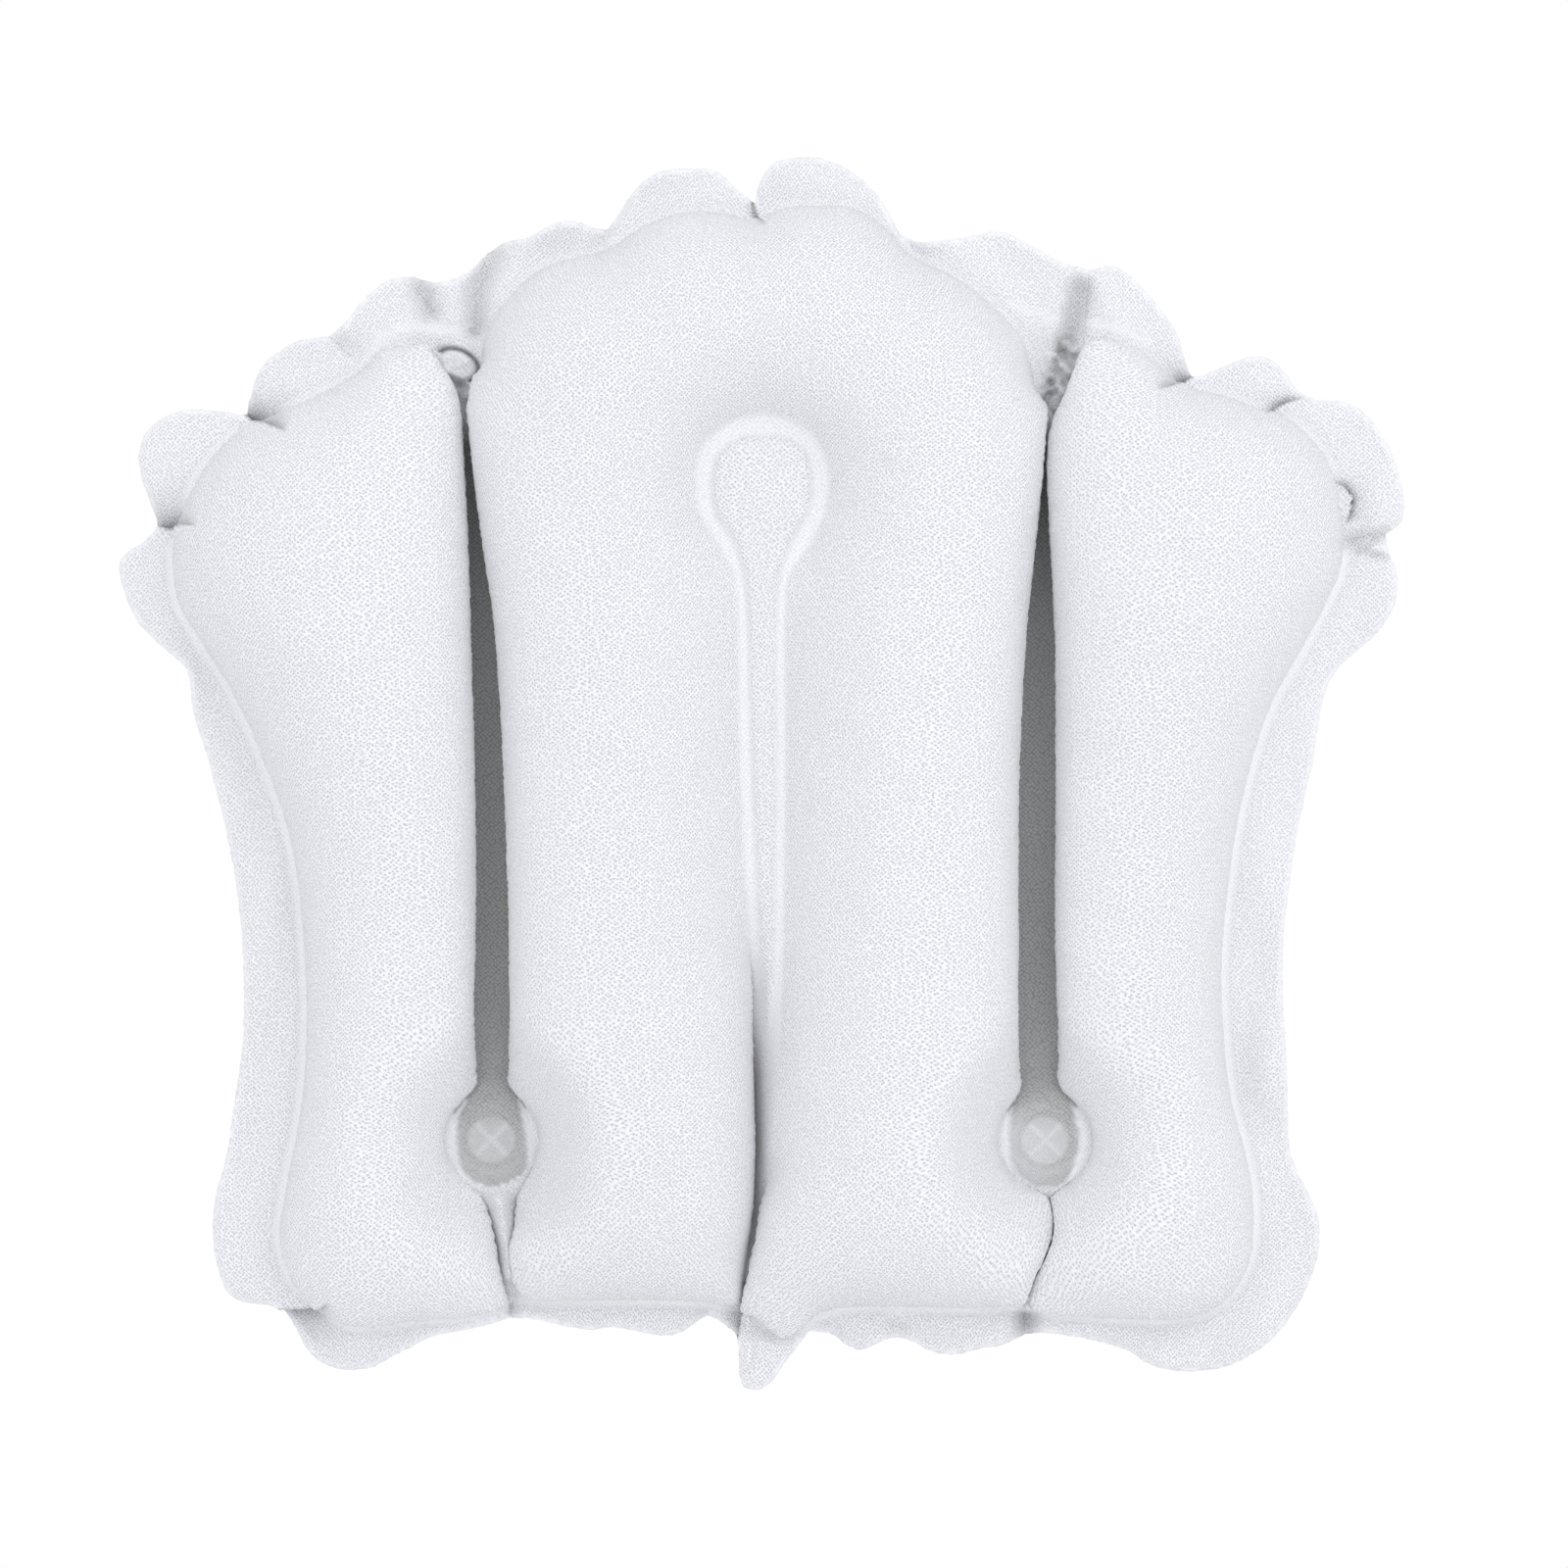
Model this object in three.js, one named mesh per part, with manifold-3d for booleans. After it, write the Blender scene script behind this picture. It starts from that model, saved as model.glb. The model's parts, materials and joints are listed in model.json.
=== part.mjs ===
import * as THREE from 'three';
import { mergeVertices } from 'three/addons/utils/BufferGeometryUtils.js';
import Module from 'manifold-3d';

// Bath pillow: a welded air cushion in three panels with a terry face and a vinyl back,
// held off the tub wall by suction cups at the four ends of its two fold channels.
// Millimetres, +Z up, face towards -Y. The origin is the middle of the cups, in the plane of their rims.

// Cup rows and the channels between the panels
const upperCupSpread = 189;
const lowerCupSpread = 172;
const cupRise = 241;
const channelWidth = 11;
const channelFootSpread = 160;
const earRadius = 10;
const islandSeamRadius = 12.5;
const footSeamInset = 1.6;
const seamDrop = 53;
const wingSeamTurn = 50;

// Reach of the panels past the cup rows and the channels
const wingReach = 107;
const crownRise = 65;
const skirtDrop = 78;

// Sheets
const terryThickness = 2.2;
const filmThickness = 0.6;
const filmRim = 1;
const sheetGap = 0.3;
const foldGap = 0.4;

// Air crown
const crownCap = 62;
const wingLean = 0.72;
const wingSlack = 0.2;
const wingSlackFrom = 35;
const wingSlackFull = 115;
const lobeSwell = 0.54;
const lobeStart = -8;
const lobeFull = 44;
const lobeReach = 80;
const skirtSwell = 0.24;
const skirtSwellFrom = -40;
const skirtSwellFull = -100;
const skirtSwellFade = -130;
const skirtSwellEnd = -160;
const backShare = 0.45;
const backRest = 12;
const slopeLimit = 2;

// Keyhole weld of the centre panel
const keyholeRadius = 18;
const keyholeHeight = 84.6;
const keyholeNeckHeight = 39;
const keyholeNeckHalf = 7.4;
const keyholeTailHeight = -40;
const keyholeTailHalf = 5.3;
const keyholeCloseHeight = -71;
const keyholeCloseHalf = 1.2;
const keyholeFootHalf = 0.8;
const keyholeFootShift = -4;
const keyholeRise = 19;
const keyholeRiseFoot = -100;
const keyholeRiseFull = -35;
const keyholeFaceReach = 34;
const keyholeBackReach = 20;

// Suction cups and their sockets
const standoff = 24;
const rimRadius = 20;
const rimFace = 2;
const bellHeight = 13;
const bellDepth = 9;
const bellLip = 1.2;
const bellCurve = 1.6;
const neckRadius = 3.2;
const headRadius = 5.2;
const headThickness = 2;
const socketRadius = 9;
const socketFloor = 1;
const socketLip = 1.2;
const fitGap = 0.3;

// Inflation valve
const valveHeight = -40;
const flangeRadius = 16;
const flangeThickness = 1.2;
const stemRadius = 6;
const stemWall = 2.5;
const stemLength = 20;
const stemClearance = 0.5;
const collarRadius = 9.5;
const collarThickness = 1.5;
const flapRadius = 4.6;
const flapThickness = 0.6;
const plugTipRadius = 2;
const plugDepth = 3.6;
const plugFit = 0.2;
const capRadius = 6.5;
const capThickness = 1.6;
const capBevel = 0.64;
const tetherWidth = 4;
const tetherThickness = 1;

// Steps along each stretch of a panel's edge
const sheetSteps = { foot: 3, arc: 5, channel: 7, neck: 2, crown: 22, wingTop: 10, across: 6 };
const turnSteps = 24;
const bellSteps = 5;

// Drawn edges of the wings: outward from the channel line, with the rise above the upper cups,
// the share of the way from the lower cups to the upper ones, or the drop below the lower cups
const leftWing = {
  name: 'left_wing',
  side: -1,
  edgeTop: [
    [1.5, 26.5], [8, 25.5], [15.5, 27.5], [25, 24], [32, 17], [39.5, 9.5], [51.5, 7], [61.5, 0],
    [67.5, -15.5], [81, -14], [93.5, -16.5], [100.5, -27.5], [99, -40.5], [96, -51], [108, -63],
  ],
  edgeOuter: [
    [86.5, -0.12], [83, -0.05], [77, 0.08], [74, 0.21], [76.5, 0.36], [84, 0.51], [87, 0.59], [101, 0.66],
  ],
  edgeBottom: [[7.5, 59], [19.5, 61.5], [38, 71], [50.5, 71], [61.5, 59], [66.5, 52], [82.5, 47.5]],
  seamTop: [
    [16, 11.5], [25, 7], [30, 0], [44.5, -8], [60.5, -15], [70.5, -19.5], [81, -30.5], [87.5, -41], [93, -66],
  ],
  seamOuter: [
    [67.5, -0.13], [65.5, -0.07], [59, 0.05], [56.5, 0.2], [59.5, 0.38], [66.5, 0.49], [77, 0.58], [85.5, 0.64],
  ],
  seamBottom: [[5.5, 54], [24.5, 57], [38, 59.5], [48, 58.5], [56, 53], [63.5, 44.5]],
};
const rightWing = {
  name: 'right_wing',
  side: 1,
  edgeTop: [
    [1.5, 30.5], [13, 31], [24, 22.5], [34.5, 8.5], [39, -4.5], [49, -0.5], [58, 2.5], [67.5, -1.5],
    [77, -10], [92.5, -14.5], [102, -27.5], [106.5, -45], [102, -52.5], [105, -68],
  ],
  edgeOuter: [
    [88, -0.13], [81, -0.05], [77, 0.03], [74, 0.2], [75.5, 0.36], [83, 0.56], [89.5, 0.62], [101, 0.66],
  ],
  edgeBottom: [[11, 61], [29.5, 65.5], [43.5, 72], [57, 71.5], [72, 64], [84.5, 48]],
  seamTop: [[16, 10], [21, 7], [37, -6.5], [50, -8.5], [68.5, -15], [83, -29], [89.5, -51], [89, -65]],
  seamOuter: [[68, -0.15], [68.5, -0.07], [65, -0.01], [56.5, 0.18], [57.5, 0.33], [68, 0.55], [78.5, 0.64]],
  seamBottom: [[5.5, 54], [21, 56], [41.5, 57.5], [55.5, 54], [63, 47.5]],
};

// Drawn edges of the centre panel: across from the middle, with the rise above the upper cups
// or the drop below the lower ones; the ends of each lie on the channel lines
const centrePanel = {
  edgeTop: [
    [-95.5, 26.5], [-86, 35], [-73, 40], [-61.5, 44.5], [-49.5, 42.5], [-39.5, 55], [-24, 61.5], [-10.5, 57],
    [-2.5, 50.5], [1, 61.5], [13, 65], [28, 60], [40.5, 43.5], [49, 38.5], [74, 41.5], [85.5, 36], [95.5, 30.5],
  ],
  seamTop: [
    [-83.5, 13], [-76, 26.5], [-67, 33], [-48.5, 37.5], [-39.5, 44], [-23.5, 49], [-2, 47],
    [27, 51], [41.5, 42], [63, 27.5], [83.5, 13],
  ],
  edgeBottom: [
    [80, 61], [67.5, 65], [56.5, 67], [41.5, 61.5], [30, 65.5], [18, 59.5], [6.5, 69.5], [-3.5, 78], [-7.5, 69.5],
    [-11.5, 58.5], [-17.5, 55.5], [-31, 61], [-46.5, 58.5], [-63.5, 57], [-80, 56],
  ],
};

// Places that follow from the sizes above
const rowHeight = cupRise / 2;
const bottomSeam = -rowHeight - seamDrop;
const upperHalf = upperCupSpread / 2;
const lowerHalf = lowerCupSpread / 2;
const footHalf = channelFootSpread / 2;
const crownScale = crownRise / Math.max(...centrePanel.edgeTop.map((point) => point[1]));
const skirtScale = skirtDrop / Math.max(...centrePanel.edgeBottom.map((point) => point[1]));
const seamTurn = Math.acos(channelWidth / 2 / islandSeamRadius);
const wingSeamEnd = THREE.MathUtils.degToRad(wingSeamTurn);
const stripBack = -standoff + sheetGap / 2 + filmThickness;

const terryFinish = new THREE.MeshStandardMaterial({ color: 0xf1f2f5, roughness: 0.95, metalness: 0 });
const filmFinish = new THREE.MeshStandardMaterial({ color: 0xf4f5f6, roughness: 0.35, metalness: 0 });
const cupFinish = new THREE.MeshStandardMaterial({ color: 0xe3e8ea, roughness: 0.2, metalness: 0 });
const valveFinish = new THREE.MeshStandardMaterial({ color: 0xeceeef, roughness: 0.4, metalness: 0 });

const wasm = await Module();
wasm.setup();

const pillow = new THREE.Group();

function addPiece(name, geometry, material, x = 0, y = 0, z = 0) {
  const piece = new THREE.Mesh(geometry, material);
  piece.name = name;
  piece.position.set(x, y, z);
  pillow.add(piece);
}

// Half the distance between the two channel lines at a height
function channelHalf(z) {
  return (upperHalf + lowerHalf) / 2 + (z * (upperHalf - lowerHalf)) / cupRise;
}

function planPoint(x, z) {
  return new THREE.Vector3(x, 0, z);
}

function straight(from, to, steps) {
  return Array.from({ length: steps + 1 }, (_, k) => from.clone().lerp(to, k / steps));
}

function smooth(points, shares) {
  const curve = new THREE.CatmullRomCurve3(points, false, 'centripetal');
  return shares.map((share) => curve.getPointAt(share));
}

function evenShares(steps) {
  return Array.from({ length: steps + 1 }, (_, k) => k / steps);
}

// Arc about a cup's place, its middle facing sideways, away from the pillow's middle where facing is 1
function cupArc(side, facing, row, radius, from, to, steps) {
  const half = row > 0 ? upperHalf : lowerHalf;
  return evenShares(steps).map((share) => {
    const angle = from + (to - from) * share;
    return planPoint(side * (half + facing * radius * Math.cos(angle)), row * rowHeight + radius * Math.sin(angle));
  });
}

function chain(stretches) {
  return stretches.flatMap((stretch, k) => (k ? stretch.slice(1) : stretch));
}

// The fold line beside one channel, from its foot to the flange at the top, on the wing's side where facing is 1
function foldLine(side, facing, steps, topRise) {
  const offset = (facing * foldGap) / 2;
  const radius = earRadius + offset;
  const quarter = Math.PI / 2;
  const lower = cupArc(side, 1, -1, radius, -quarter, quarter, steps.arc);
  const upper = cupArc(side, 1, 1, radius, -quarter, quarter, steps.arc);
  for (const point of [lower[0], lower[steps.arc], upper[0], upper[steps.arc]]) {
    point.x += side * offset;
  }
  const foot = planPoint(side * (footHalf + offset), bottomSeam - footSeamInset);
  const topHeight = rowHeight + topRise * crownScale;
  const top = planPoint(side * (channelHalf(topHeight) + offset), topHeight);
  return {
    body: [
      straight(foot, lower[0], steps.foot),
      lower,
      straight(lower[steps.arc], upper[0], steps.channel),
      upper,
    ],
    neck: straight(upper[steps.arc], top, steps.neck),
  };
}

// The weld beside one channel, round the cup islands, up to the given angle on the upper one
function channelSeam(side, facing, upperEnd, steps) {
  const lower = cupArc(side, facing, -1, islandSeamRadius, -seamTurn, seamTurn, steps.arc);
  const upper = cupArc(side, facing, 1, islandSeamRadius, -seamTurn, upperEnd, steps.arc);
  const foot = planPoint(side * (footHalf + facing * footSeamInset), bottomSeam);
  return [straight(foot, lower[0], steps.foot), lower, straight(lower[steps.arc], upper[0], steps.channel), upper];
}

// A patch between two sides and two ends, each given from its start; sides and ends share their corners
function coonsPatch(sideA, sideB, startEnd, finishEnd) {
  const last = sideA.length - 1;
  const width = startEnd.length - 1;
  return sideA.map((_, i) => startEnd.map((__, j) => {
    const s = i / last;
    const t = j / width;
    const point = new THREE.Vector3();
    point.addScaledVector(sideA[i], 1 - t).addScaledVector(sideB[i], t);
    point.addScaledVector(startEnd[j], 1 - s).addScaledVector(finishEnd[j], s);
    point.addScaledVector(sideA[0], -(1 - s) * (1 - t)).addScaledVector(sideB[0], -(1 - s) * t);
    point.addScaledVector(sideA[last], -s * (1 - t)).addScaledVector(sideB[last], -s * t);
    return point;
  }));
}

function lengthsAlong(points) {
  let total = 0;
  return points.map((point, k) => {
    total += k ? point.distanceTo(points[k - 1]) : 0;
    return total;
  });
}

// Height of the air crown over a patch: round across a long tube, closing at its sides and ends,
// leaning towards its first side where the lean is below 1
function crownHeights(grid, lean, gainAt) {
  const across = grid.map(lengthsAlong);
  const along = grid[0].map((_, j) => lengthsAlong(grid.map((row) => row[j])));
  return grid.map((row, i) => row.map((point, j) => {
    const width = across[i][row.length - 1];
    const length = along[j];
    const leaned = width * (across[i][j] / width) ** lean;
    const sides = leaned * (width - leaned);
    const ends = length[i] * (length[length.length - 1] - length[i]);
    const swell = sides * ends > 0 ? Math.sqrt((sides * ends) / (sides + ends)) * gainAt(point) : 0;
    return (swell * crownCap) / Math.hypot(swell, crownCap);
  }));
}

// A plan collects points with their crown heights and the triangles between them
function newPlan() {
  return { points: [], heights: [], triangles: [], rim: [] };
}

function addPoint(plan, point, height) {
  plan.points.push(point);
  plan.heights.push(height);
  return plan.points.length - 1;
}

function addQuad(plan, a, b, c, d) {
  plan.triangles.push([a, b, c], [a, c, d]);
}

function addGrid(plan, grid, lean, gainAt) {
  const heights = crownHeights(grid, lean, gainAt);
  const ids = grid.map((row, i) => row.map((point, j) => addPoint(plan, point, heights[i][j])));
  for (let i = 0; i + 1 < ids.length; i += 1) {
    for (let j = 0; j + 1 < ids[i].length; j += 1) {
      addQuad(plan, ids[i][j], ids[i + 1][j], ids[i + 1][j + 1], ids[i][j + 1]);
    }
  }
  return ids;
}

// Flat flange from the seam loop out to the edge loop
function addFlange(plan, seamIds, edge) {
  plan.rim = edge.map((point) => addPoint(plan, point, 0));
  seamIds.forEach((id, k) => {
    const next = (k + 1) % seamIds.length;
    addQuad(plan, plan.rim[k], plan.rim[next], seamIds[next], id);
  });
}

function turnsLeft(points) {
  let area = 0;
  points.forEach((point, k) => {
    const next = points[(k + 1) % points.length];
    area += point.x * next.z - next.x * point.z;
  });
  return area > 0;
}

// Each point's slope factor: how much thicker the sheet is along Y where it climbs
function slopeFactors(plan, heights) {
  const normals = plan.points.map(() => new THREE.Vector3());
  const lifted = plan.points.map((point, k) => new THREE.Vector3(point.x, heights[k], point.z));
  for (const [a, b, c] of plan.triangles) {
    const along = lifted[b].clone().sub(lifted[a]);
    const normal = along.cross(lifted[c].clone().sub(lifted[a]));
    for (const k of [a, b, c]) {
      normals[k].add(normal);
    }
  }
  return normals.map((normal) => Math.min(slopeLimit, normal.length() / Math.abs(normal.y)));
}

// Closed sheet between a front and a back surface over one plan
function sheetGeometry(plan, frontAt, backAt) {
  const leftHanded = turnsLeft(plan.rim.map((id) => plan.points[id]));
  const count = plan.points.length;
  const places = [];
  for (const surface of [frontAt, backAt]) {
    plan.points.forEach((point, k) => places.push(point.x, surface(k), point.z));
  }
  const faces = [];
  const addFace = (a, b, c) => faces.push(...(leftHanded ? [a, b, c] : [a, c, b]));
  for (const [a, b, c] of plan.triangles) {
    addFace(a, b, c);
    addFace(a + count, c + count, b + count);
  }
  plan.rim.forEach((id, k) => {
    const next = plan.rim[(k + 1) % plan.rim.length];
    addFace(next, id, id + count);
    addFace(next, id + count, next + count);
  });
  const geometry = new THREE.BufferGeometry();
  geometry.setAttribute('position', new THREE.Float32BufferAttribute(places, 3));
  geometry.setIndex(faces);
  return geometry;
}

// How far the keyhole weld draws a sheet forward of the edge weld, fading over a reach round the keyhole
function keyholeLift(point, reach) {
  const tailGap = Math.abs(point.x - tailMiddle(point.z)) - tailHalf(Math.min(point.z, keyholeNeckHeight));
  const headGap = Math.hypot(point.x, point.z - keyholeHeight) - keyholeRadius;
  const gap = Math.max(0, point.z < keyholeHeight ? Math.min(tailGap, headGap) : headGap);
  const share = Math.max(0, 1 - (gap / reach) ** 2);
  return keyholeRise * share ** 2 * THREE.MathUtils.smoothstep(point.z, keyholeRiseFoot, keyholeRiseFull);
}

function terryGeometry(plan, lift = () => 0) {
  const heights = plan.points.map((point, k) => Math.cbrt(plan.heights[k] ** 3 + lift(point) ** 3));
  const factors = slopeFactors(plan, heights);
  const inner = (k) => -standoff - sheetGap / 2 - heights[k];
  return sheetGeometry(plan, (k) => inner(k) - terryThickness * factors[k], inner);
}

// The back is drawn flat where the pillow leans towards the wall
function filmGeometry(plan, lift = () => 0) {
  const swell = (k) => Math.min(backRest, plan.heights[k] * backShare);
  const inner = (k) => -standoff + sheetGap / 2 + swell(k) - lift(plan.points[k]);
  return sheetGeometry(plan, inner, (k) => inner(k) + filmThickness);
}

// Points pushed out past the terry's edge, all but the two ends that meet a fold line
function widened(edge, seam, rim) {
  return edge.map((point, k) => {
    if (k === 0 || k === edge.length - 1) {
      return point;
    }
    const outward = point.clone().sub(seam[k]).normalize();
    return point.clone().addScaledVector(outward, rim);
  });
}

function wingPlan(wing, steps, rim) {
  const { side } = wing;
  const reach = wingReach / Math.max(...wing.edgeTop.map((point) => point[0]));
  const place = (out, z) => planPoint(side * (channelHalf(z) + out * reach), z);
  const above = ([out, rise]) => place(out, rowHeight + rise * crownScale);
  const between = ([out, share]) => place(out, -rowHeight + share * cupRise);
  const below = ([out, drop]) => place(out, -rowHeight - drop * skirtScale);
  const fold = foldLine(side, 1, steps, wing.edgeTop[0][1]);
  const seam = channelSeam(side, 1, wingSeamEnd, steps);
  const seamInner = chain(seam);
  const foldInner = chain(fold.body);
  const last = seamInner.length - 1;
  const topSteps = evenShares(steps.wingTop);
  const sideSteps = evenShares(last);
  const endSteps = evenShares(steps.neck + steps.wingTop);

  const seamTopPoints = wing.seamTop.map(above);
  const seamTop = chain([
    straight(seamInner[last], seamTopPoints[0], steps.neck),
    smooth(seamTopPoints, topSteps),
  ]);
  const seamBottom = smooth([seamInner[0], ...wing.seamBottom.map(below)], endSteps);
  const seamOuter = smooth(
    [seamBottom[seamBottom.length - 1], ...wing.seamOuter.map(between), seamTop[seamTop.length - 1]],
    sideSteps,
  );
  const foldTop = fold.neck[steps.neck];
  const edgeTop = smooth([foldTop, ...wing.edgeTop.slice(1).map(above)], topSteps);
  const edgeBottom = smooth([foldInner[0], ...wing.edgeBottom.map(below)], endSteps);
  const edgeOuter = smooth(
    [edgeBottom[edgeBottom.length - 1], ...wing.edgeOuter.map(between), edgeTop[edgeTop.length - 1]],
    sideSteps,
  );

  const plan = newPlan();
  const ids = addGrid(plan, coonsPatch(seamInner, seamOuter, seamBottom, seamTop), wingLean, wingGain);
  const topSeam = ids[last];
  const outerSeam = ids.map((row) => row[row.length - 1]).reverse();
  const bottomSeamIds = [...ids[0]].reverse();
  const seamIds = chain([ids.map((row) => row[0]), topSeam, outerSeam, bottomSeamIds]).slice(0, -1);
  const freeSeam = chain([seamTop.slice(steps.neck), [...seamOuter].reverse(), [...seamBottom].reverse()]);
  const freeEdge = chain([edgeTop, [...edgeOuter].reverse(), [...edgeBottom].reverse()]);
  const edge = chain([foldInner, fold.neck, widened(freeEdge, freeSeam, rim)]).slice(0, -1);
  addFlange(plan, seamIds, edge);
  return plan;
}

// The wings are slacker towards their tops
function wingGain(point) {
  return 1 - wingSlack * THREE.MathUtils.smoothstep(point.z, wingSlackFrom, wingSlackFull);
}

// The centre panel is fullest in the lobe over the keyhole and above the skirt
function centreGain(point) {
  const middle = 1 - THREE.MathUtils.smoothstep(Math.abs(point.x), 0, lobeReach);
  const lobe = lobeSwell * middle * THREE.MathUtils.smoothstep(point.z - keyholeHeight, lobeStart, lobeFull);
  const skirt = skirtSwell * (1 - THREE.MathUtils.smoothstep(point.z, skirtSwellFull, skirtSwellFrom));
  return 1 + lobe + skirt * THREE.MathUtils.smoothstep(point.z, skirtSwellEnd, skirtSwellFade);
}

// The keyhole weld's tail drifts sideways below where it closes
function tailMiddle(z) {
  return keyholeFootShift * (1 - THREE.MathUtils.smoothstep(z, keyholeRiseFoot, keyholeCloseHeight));
}

// Half the width of the keyhole weld's tail at a height
function tailHalf(z) {
  const stations = [
    [bottomSeam, keyholeFootHalf],
    [keyholeCloseHeight, keyholeCloseHalf],
    [keyholeTailHeight, keyholeTailHalf],
    [keyholeNeckHeight, keyholeNeckHalf],
  ];
  const k = Math.min(stations.length - 2, stations.filter((station) => station[0] <= z).length - 1);
  const [fromZ, fromHalf] = stations[Math.max(0, k)];
  const [toZ, toHalf] = stations[Math.max(0, k) + 1];
  return fromHalf + ((toHalf - fromHalf) * (z - fromZ)) / (toZ - fromZ);
}

// The keyhole weld from the foot of its tail, up one side and over the head, matched to the outer seam's heights
function keyholeSide(outer, tailSteps) {
  const reachZ = outer[tailSteps].z - bottomSeam;
  const points = outer.map((point, k) => {
    const share = Math.min(1, (point.z - bottomSeam) / reachZ);
    const z = bottomSeam + share * (keyholeNeckHeight - bottomSeam);
    return k <= tailSteps ? planPoint(tailMiddle(z) - tailHalf(z), z) : null;
  });
  const headSteps = outer.length - 1 - tailSteps;
  const shoulder = keyholeRadius * Math.SQRT1_2;
  const head = smooth(
    [
      points[tailSteps],
      planPoint(-shoulder, keyholeHeight - shoulder),
      planPoint(-keyholeRadius, keyholeHeight),
      planPoint(-shoulder, keyholeHeight + shoulder),
      planPoint(0, keyholeHeight + keyholeRadius),
    ],
    evenShares(headSteps),
  );
  return chain([points.slice(0, tailSteps + 1), head]);
}

function centrePlan(steps, rim) {
  const firstRise = centrePanel.edgeTop[0][1];
  const spread = channelHalf(rowHeight + firstRise * crownScale) / -centrePanel.edgeTop[0][0];
  const footSpread = footHalf / centrePanel.edgeBottom[0][0];
  const above = ([x, rise]) => planPoint(x * spread, rowHeight + rise * crownScale);
  const below = ([x, drop]) => planPoint(x * footSpread, -rowHeight - drop * skirtScale);
  const lastRise = centrePanel.edgeTop[centrePanel.edgeTop.length - 1][1];
  const leftFold = foldLine(-1, -1, steps, firstRise);
  const rightFold = foldLine(1, -1, steps, lastRise);
  const leftSeam = channelSeam(-1, -1, 0, steps);
  const rightSeam = channelSeam(1, -1, 0, steps);
  const seamTopPoints = centrePanel.seamTop.map(above);
  const crownShares = evenShares(steps.crown);
  const seamTop = smooth(seamTopPoints, crownShares);
  const leftNeck = straight(leftSeam[3][steps.arc], seamTop[0], steps.neck);
  const rightNeck = straight(rightSeam[3][steps.arc], seamTop[steps.crown], steps.neck);
  const outer = chain([
    ...leftSeam, leftNeck, seamTop, [...rightNeck].reverse(), [...chain(rightSeam)].reverse(),
  ]);
  const middle = (outer.length - 1) / 2;
  const tailSteps = steps.foot + steps.arc + steps.channel;
  const leftKeyhole = keyholeSide(outer.slice(0, middle + 1), tailSteps);
  const rightKeyhole = [...leftKeyhole].reverse().map(({ x, z }) => planPoint(2 * tailMiddle(z) - x, z));
  const keyhole = chain([leftKeyhole, rightKeyhole]);

  const shares = evenShares(steps.across).map((share) => (1 - Math.cos(Math.PI * share)) / 2);
  const grid = outer.map((point, i) => shares.map((share) => point.clone().lerp(keyhole[i], share)));
  const plan = newPlan();
  const ids = addGrid(plan, grid, 1, centreGain);
  const last = ids.length - 1;
  for (let i = 0; i < middle; i += 1) {
    const [a, b] = [ids[i][steps.across], ids[i + 1][steps.across]];
    const [c, d] = [ids[last - i - 1][steps.across], ids[last - i][steps.across]];
    if (b === c) {
      plan.triangles.push([a, b, d]);
    } else {
      addQuad(plan, a, b, c, d);
    }
  }

  const bottomRow = [...ids[last], ...[...ids[0]].reverse()];
  const bottomLengths = lengthsAlong(bottomRow.map((id) => plan.points[id]));
  const bottomShares = bottomLengths.map((length) => length / bottomLengths[bottomLengths.length - 1]);
  const leftBody = chain(leftFold.body);
  const rightBody = chain(rightFold.body);
  const topEnds = [leftFold.neck[steps.neck], rightFold.neck[steps.neck]];
  const edgeTop = smooth([topEnds[0], ...centrePanel.edgeTop.slice(1, -1).map(above), topEnds[1]], crownShares);
  const bottomPoints = centrePanel.edgeBottom.slice(1, -1).map(below);
  const edgeBottom = smooth([rightBody[0], ...bottomPoints, leftBody[0]], bottomShares);
  const bottomSeamPoints = bottomRow.map((id) => plan.points[id]);
  const seamIds = [...ids.map((row) => row[0]), ...bottomRow.slice(1, -1)];
  const edge = chain([
    leftBody,
    leftFold.neck,
    widened(edgeTop, seamTop, rim),
    [...rightFold.neck].reverse(),
    [...rightBody].reverse(),
    widened(edgeBottom, bottomSeamPoints, rim),
  ]).slice(0, -1);
  addFlange(plan, seamIds, edge);
  return plan;
}

// Round piece about the Y axis from a profile of [radius, y] corners
function turned(profile) {
  return new THREE.LatheGeometry(profile.map(([radius, y]) => new THREE.Vector2(radius, y)), turnSteps);
}

function toSolid(geometry) {
  const bare = geometry.clone();
  bare.deleteAttribute('normal');
  bare.deleteAttribute('uv');
  const merged = mergeVertices(bare);
  return new wasm.Manifold(new wasm.Mesh({
    numProp: 3,
    vertProperties: new Float32Array(merged.attributes.position.array),
    triVerts: new Uint32Array(merged.index.array),
  }));
}

function toGeometry(solid) {
  const mesh = solid.getMesh();
  const geometry = new THREE.BufferGeometry();
  geometry.setAttribute('position', new THREE.Float32BufferAttribute(mesh.vertProperties, 3));
  geometry.setIndex(new THREE.Uint32BufferAttribute(mesh.triVerts, 1));
  return geometry;
}

// Valve places: on the flat back of the right-hand tube of the centre panel
const valveX = (tailHalf(valveHeight) + channelHalf(valveHeight) - channelWidth / 2) / 2;
const filmBack = -standoff + sheetGap / 2 + backRest + filmThickness;
const flangeFront = filmBack + fitGap;
const flangeBack = flangeFront + flangeThickness;
const boreRadius = stemRadius + stemClearance;
const collarFront = flangeBack + fitGap;
const collarBack = collarFront + collarThickness;
const stemTip = collarFront - stemLength;
const stemBore = stemRadius - stemWall;
const capFront = collarBack + fitGap;

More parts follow.
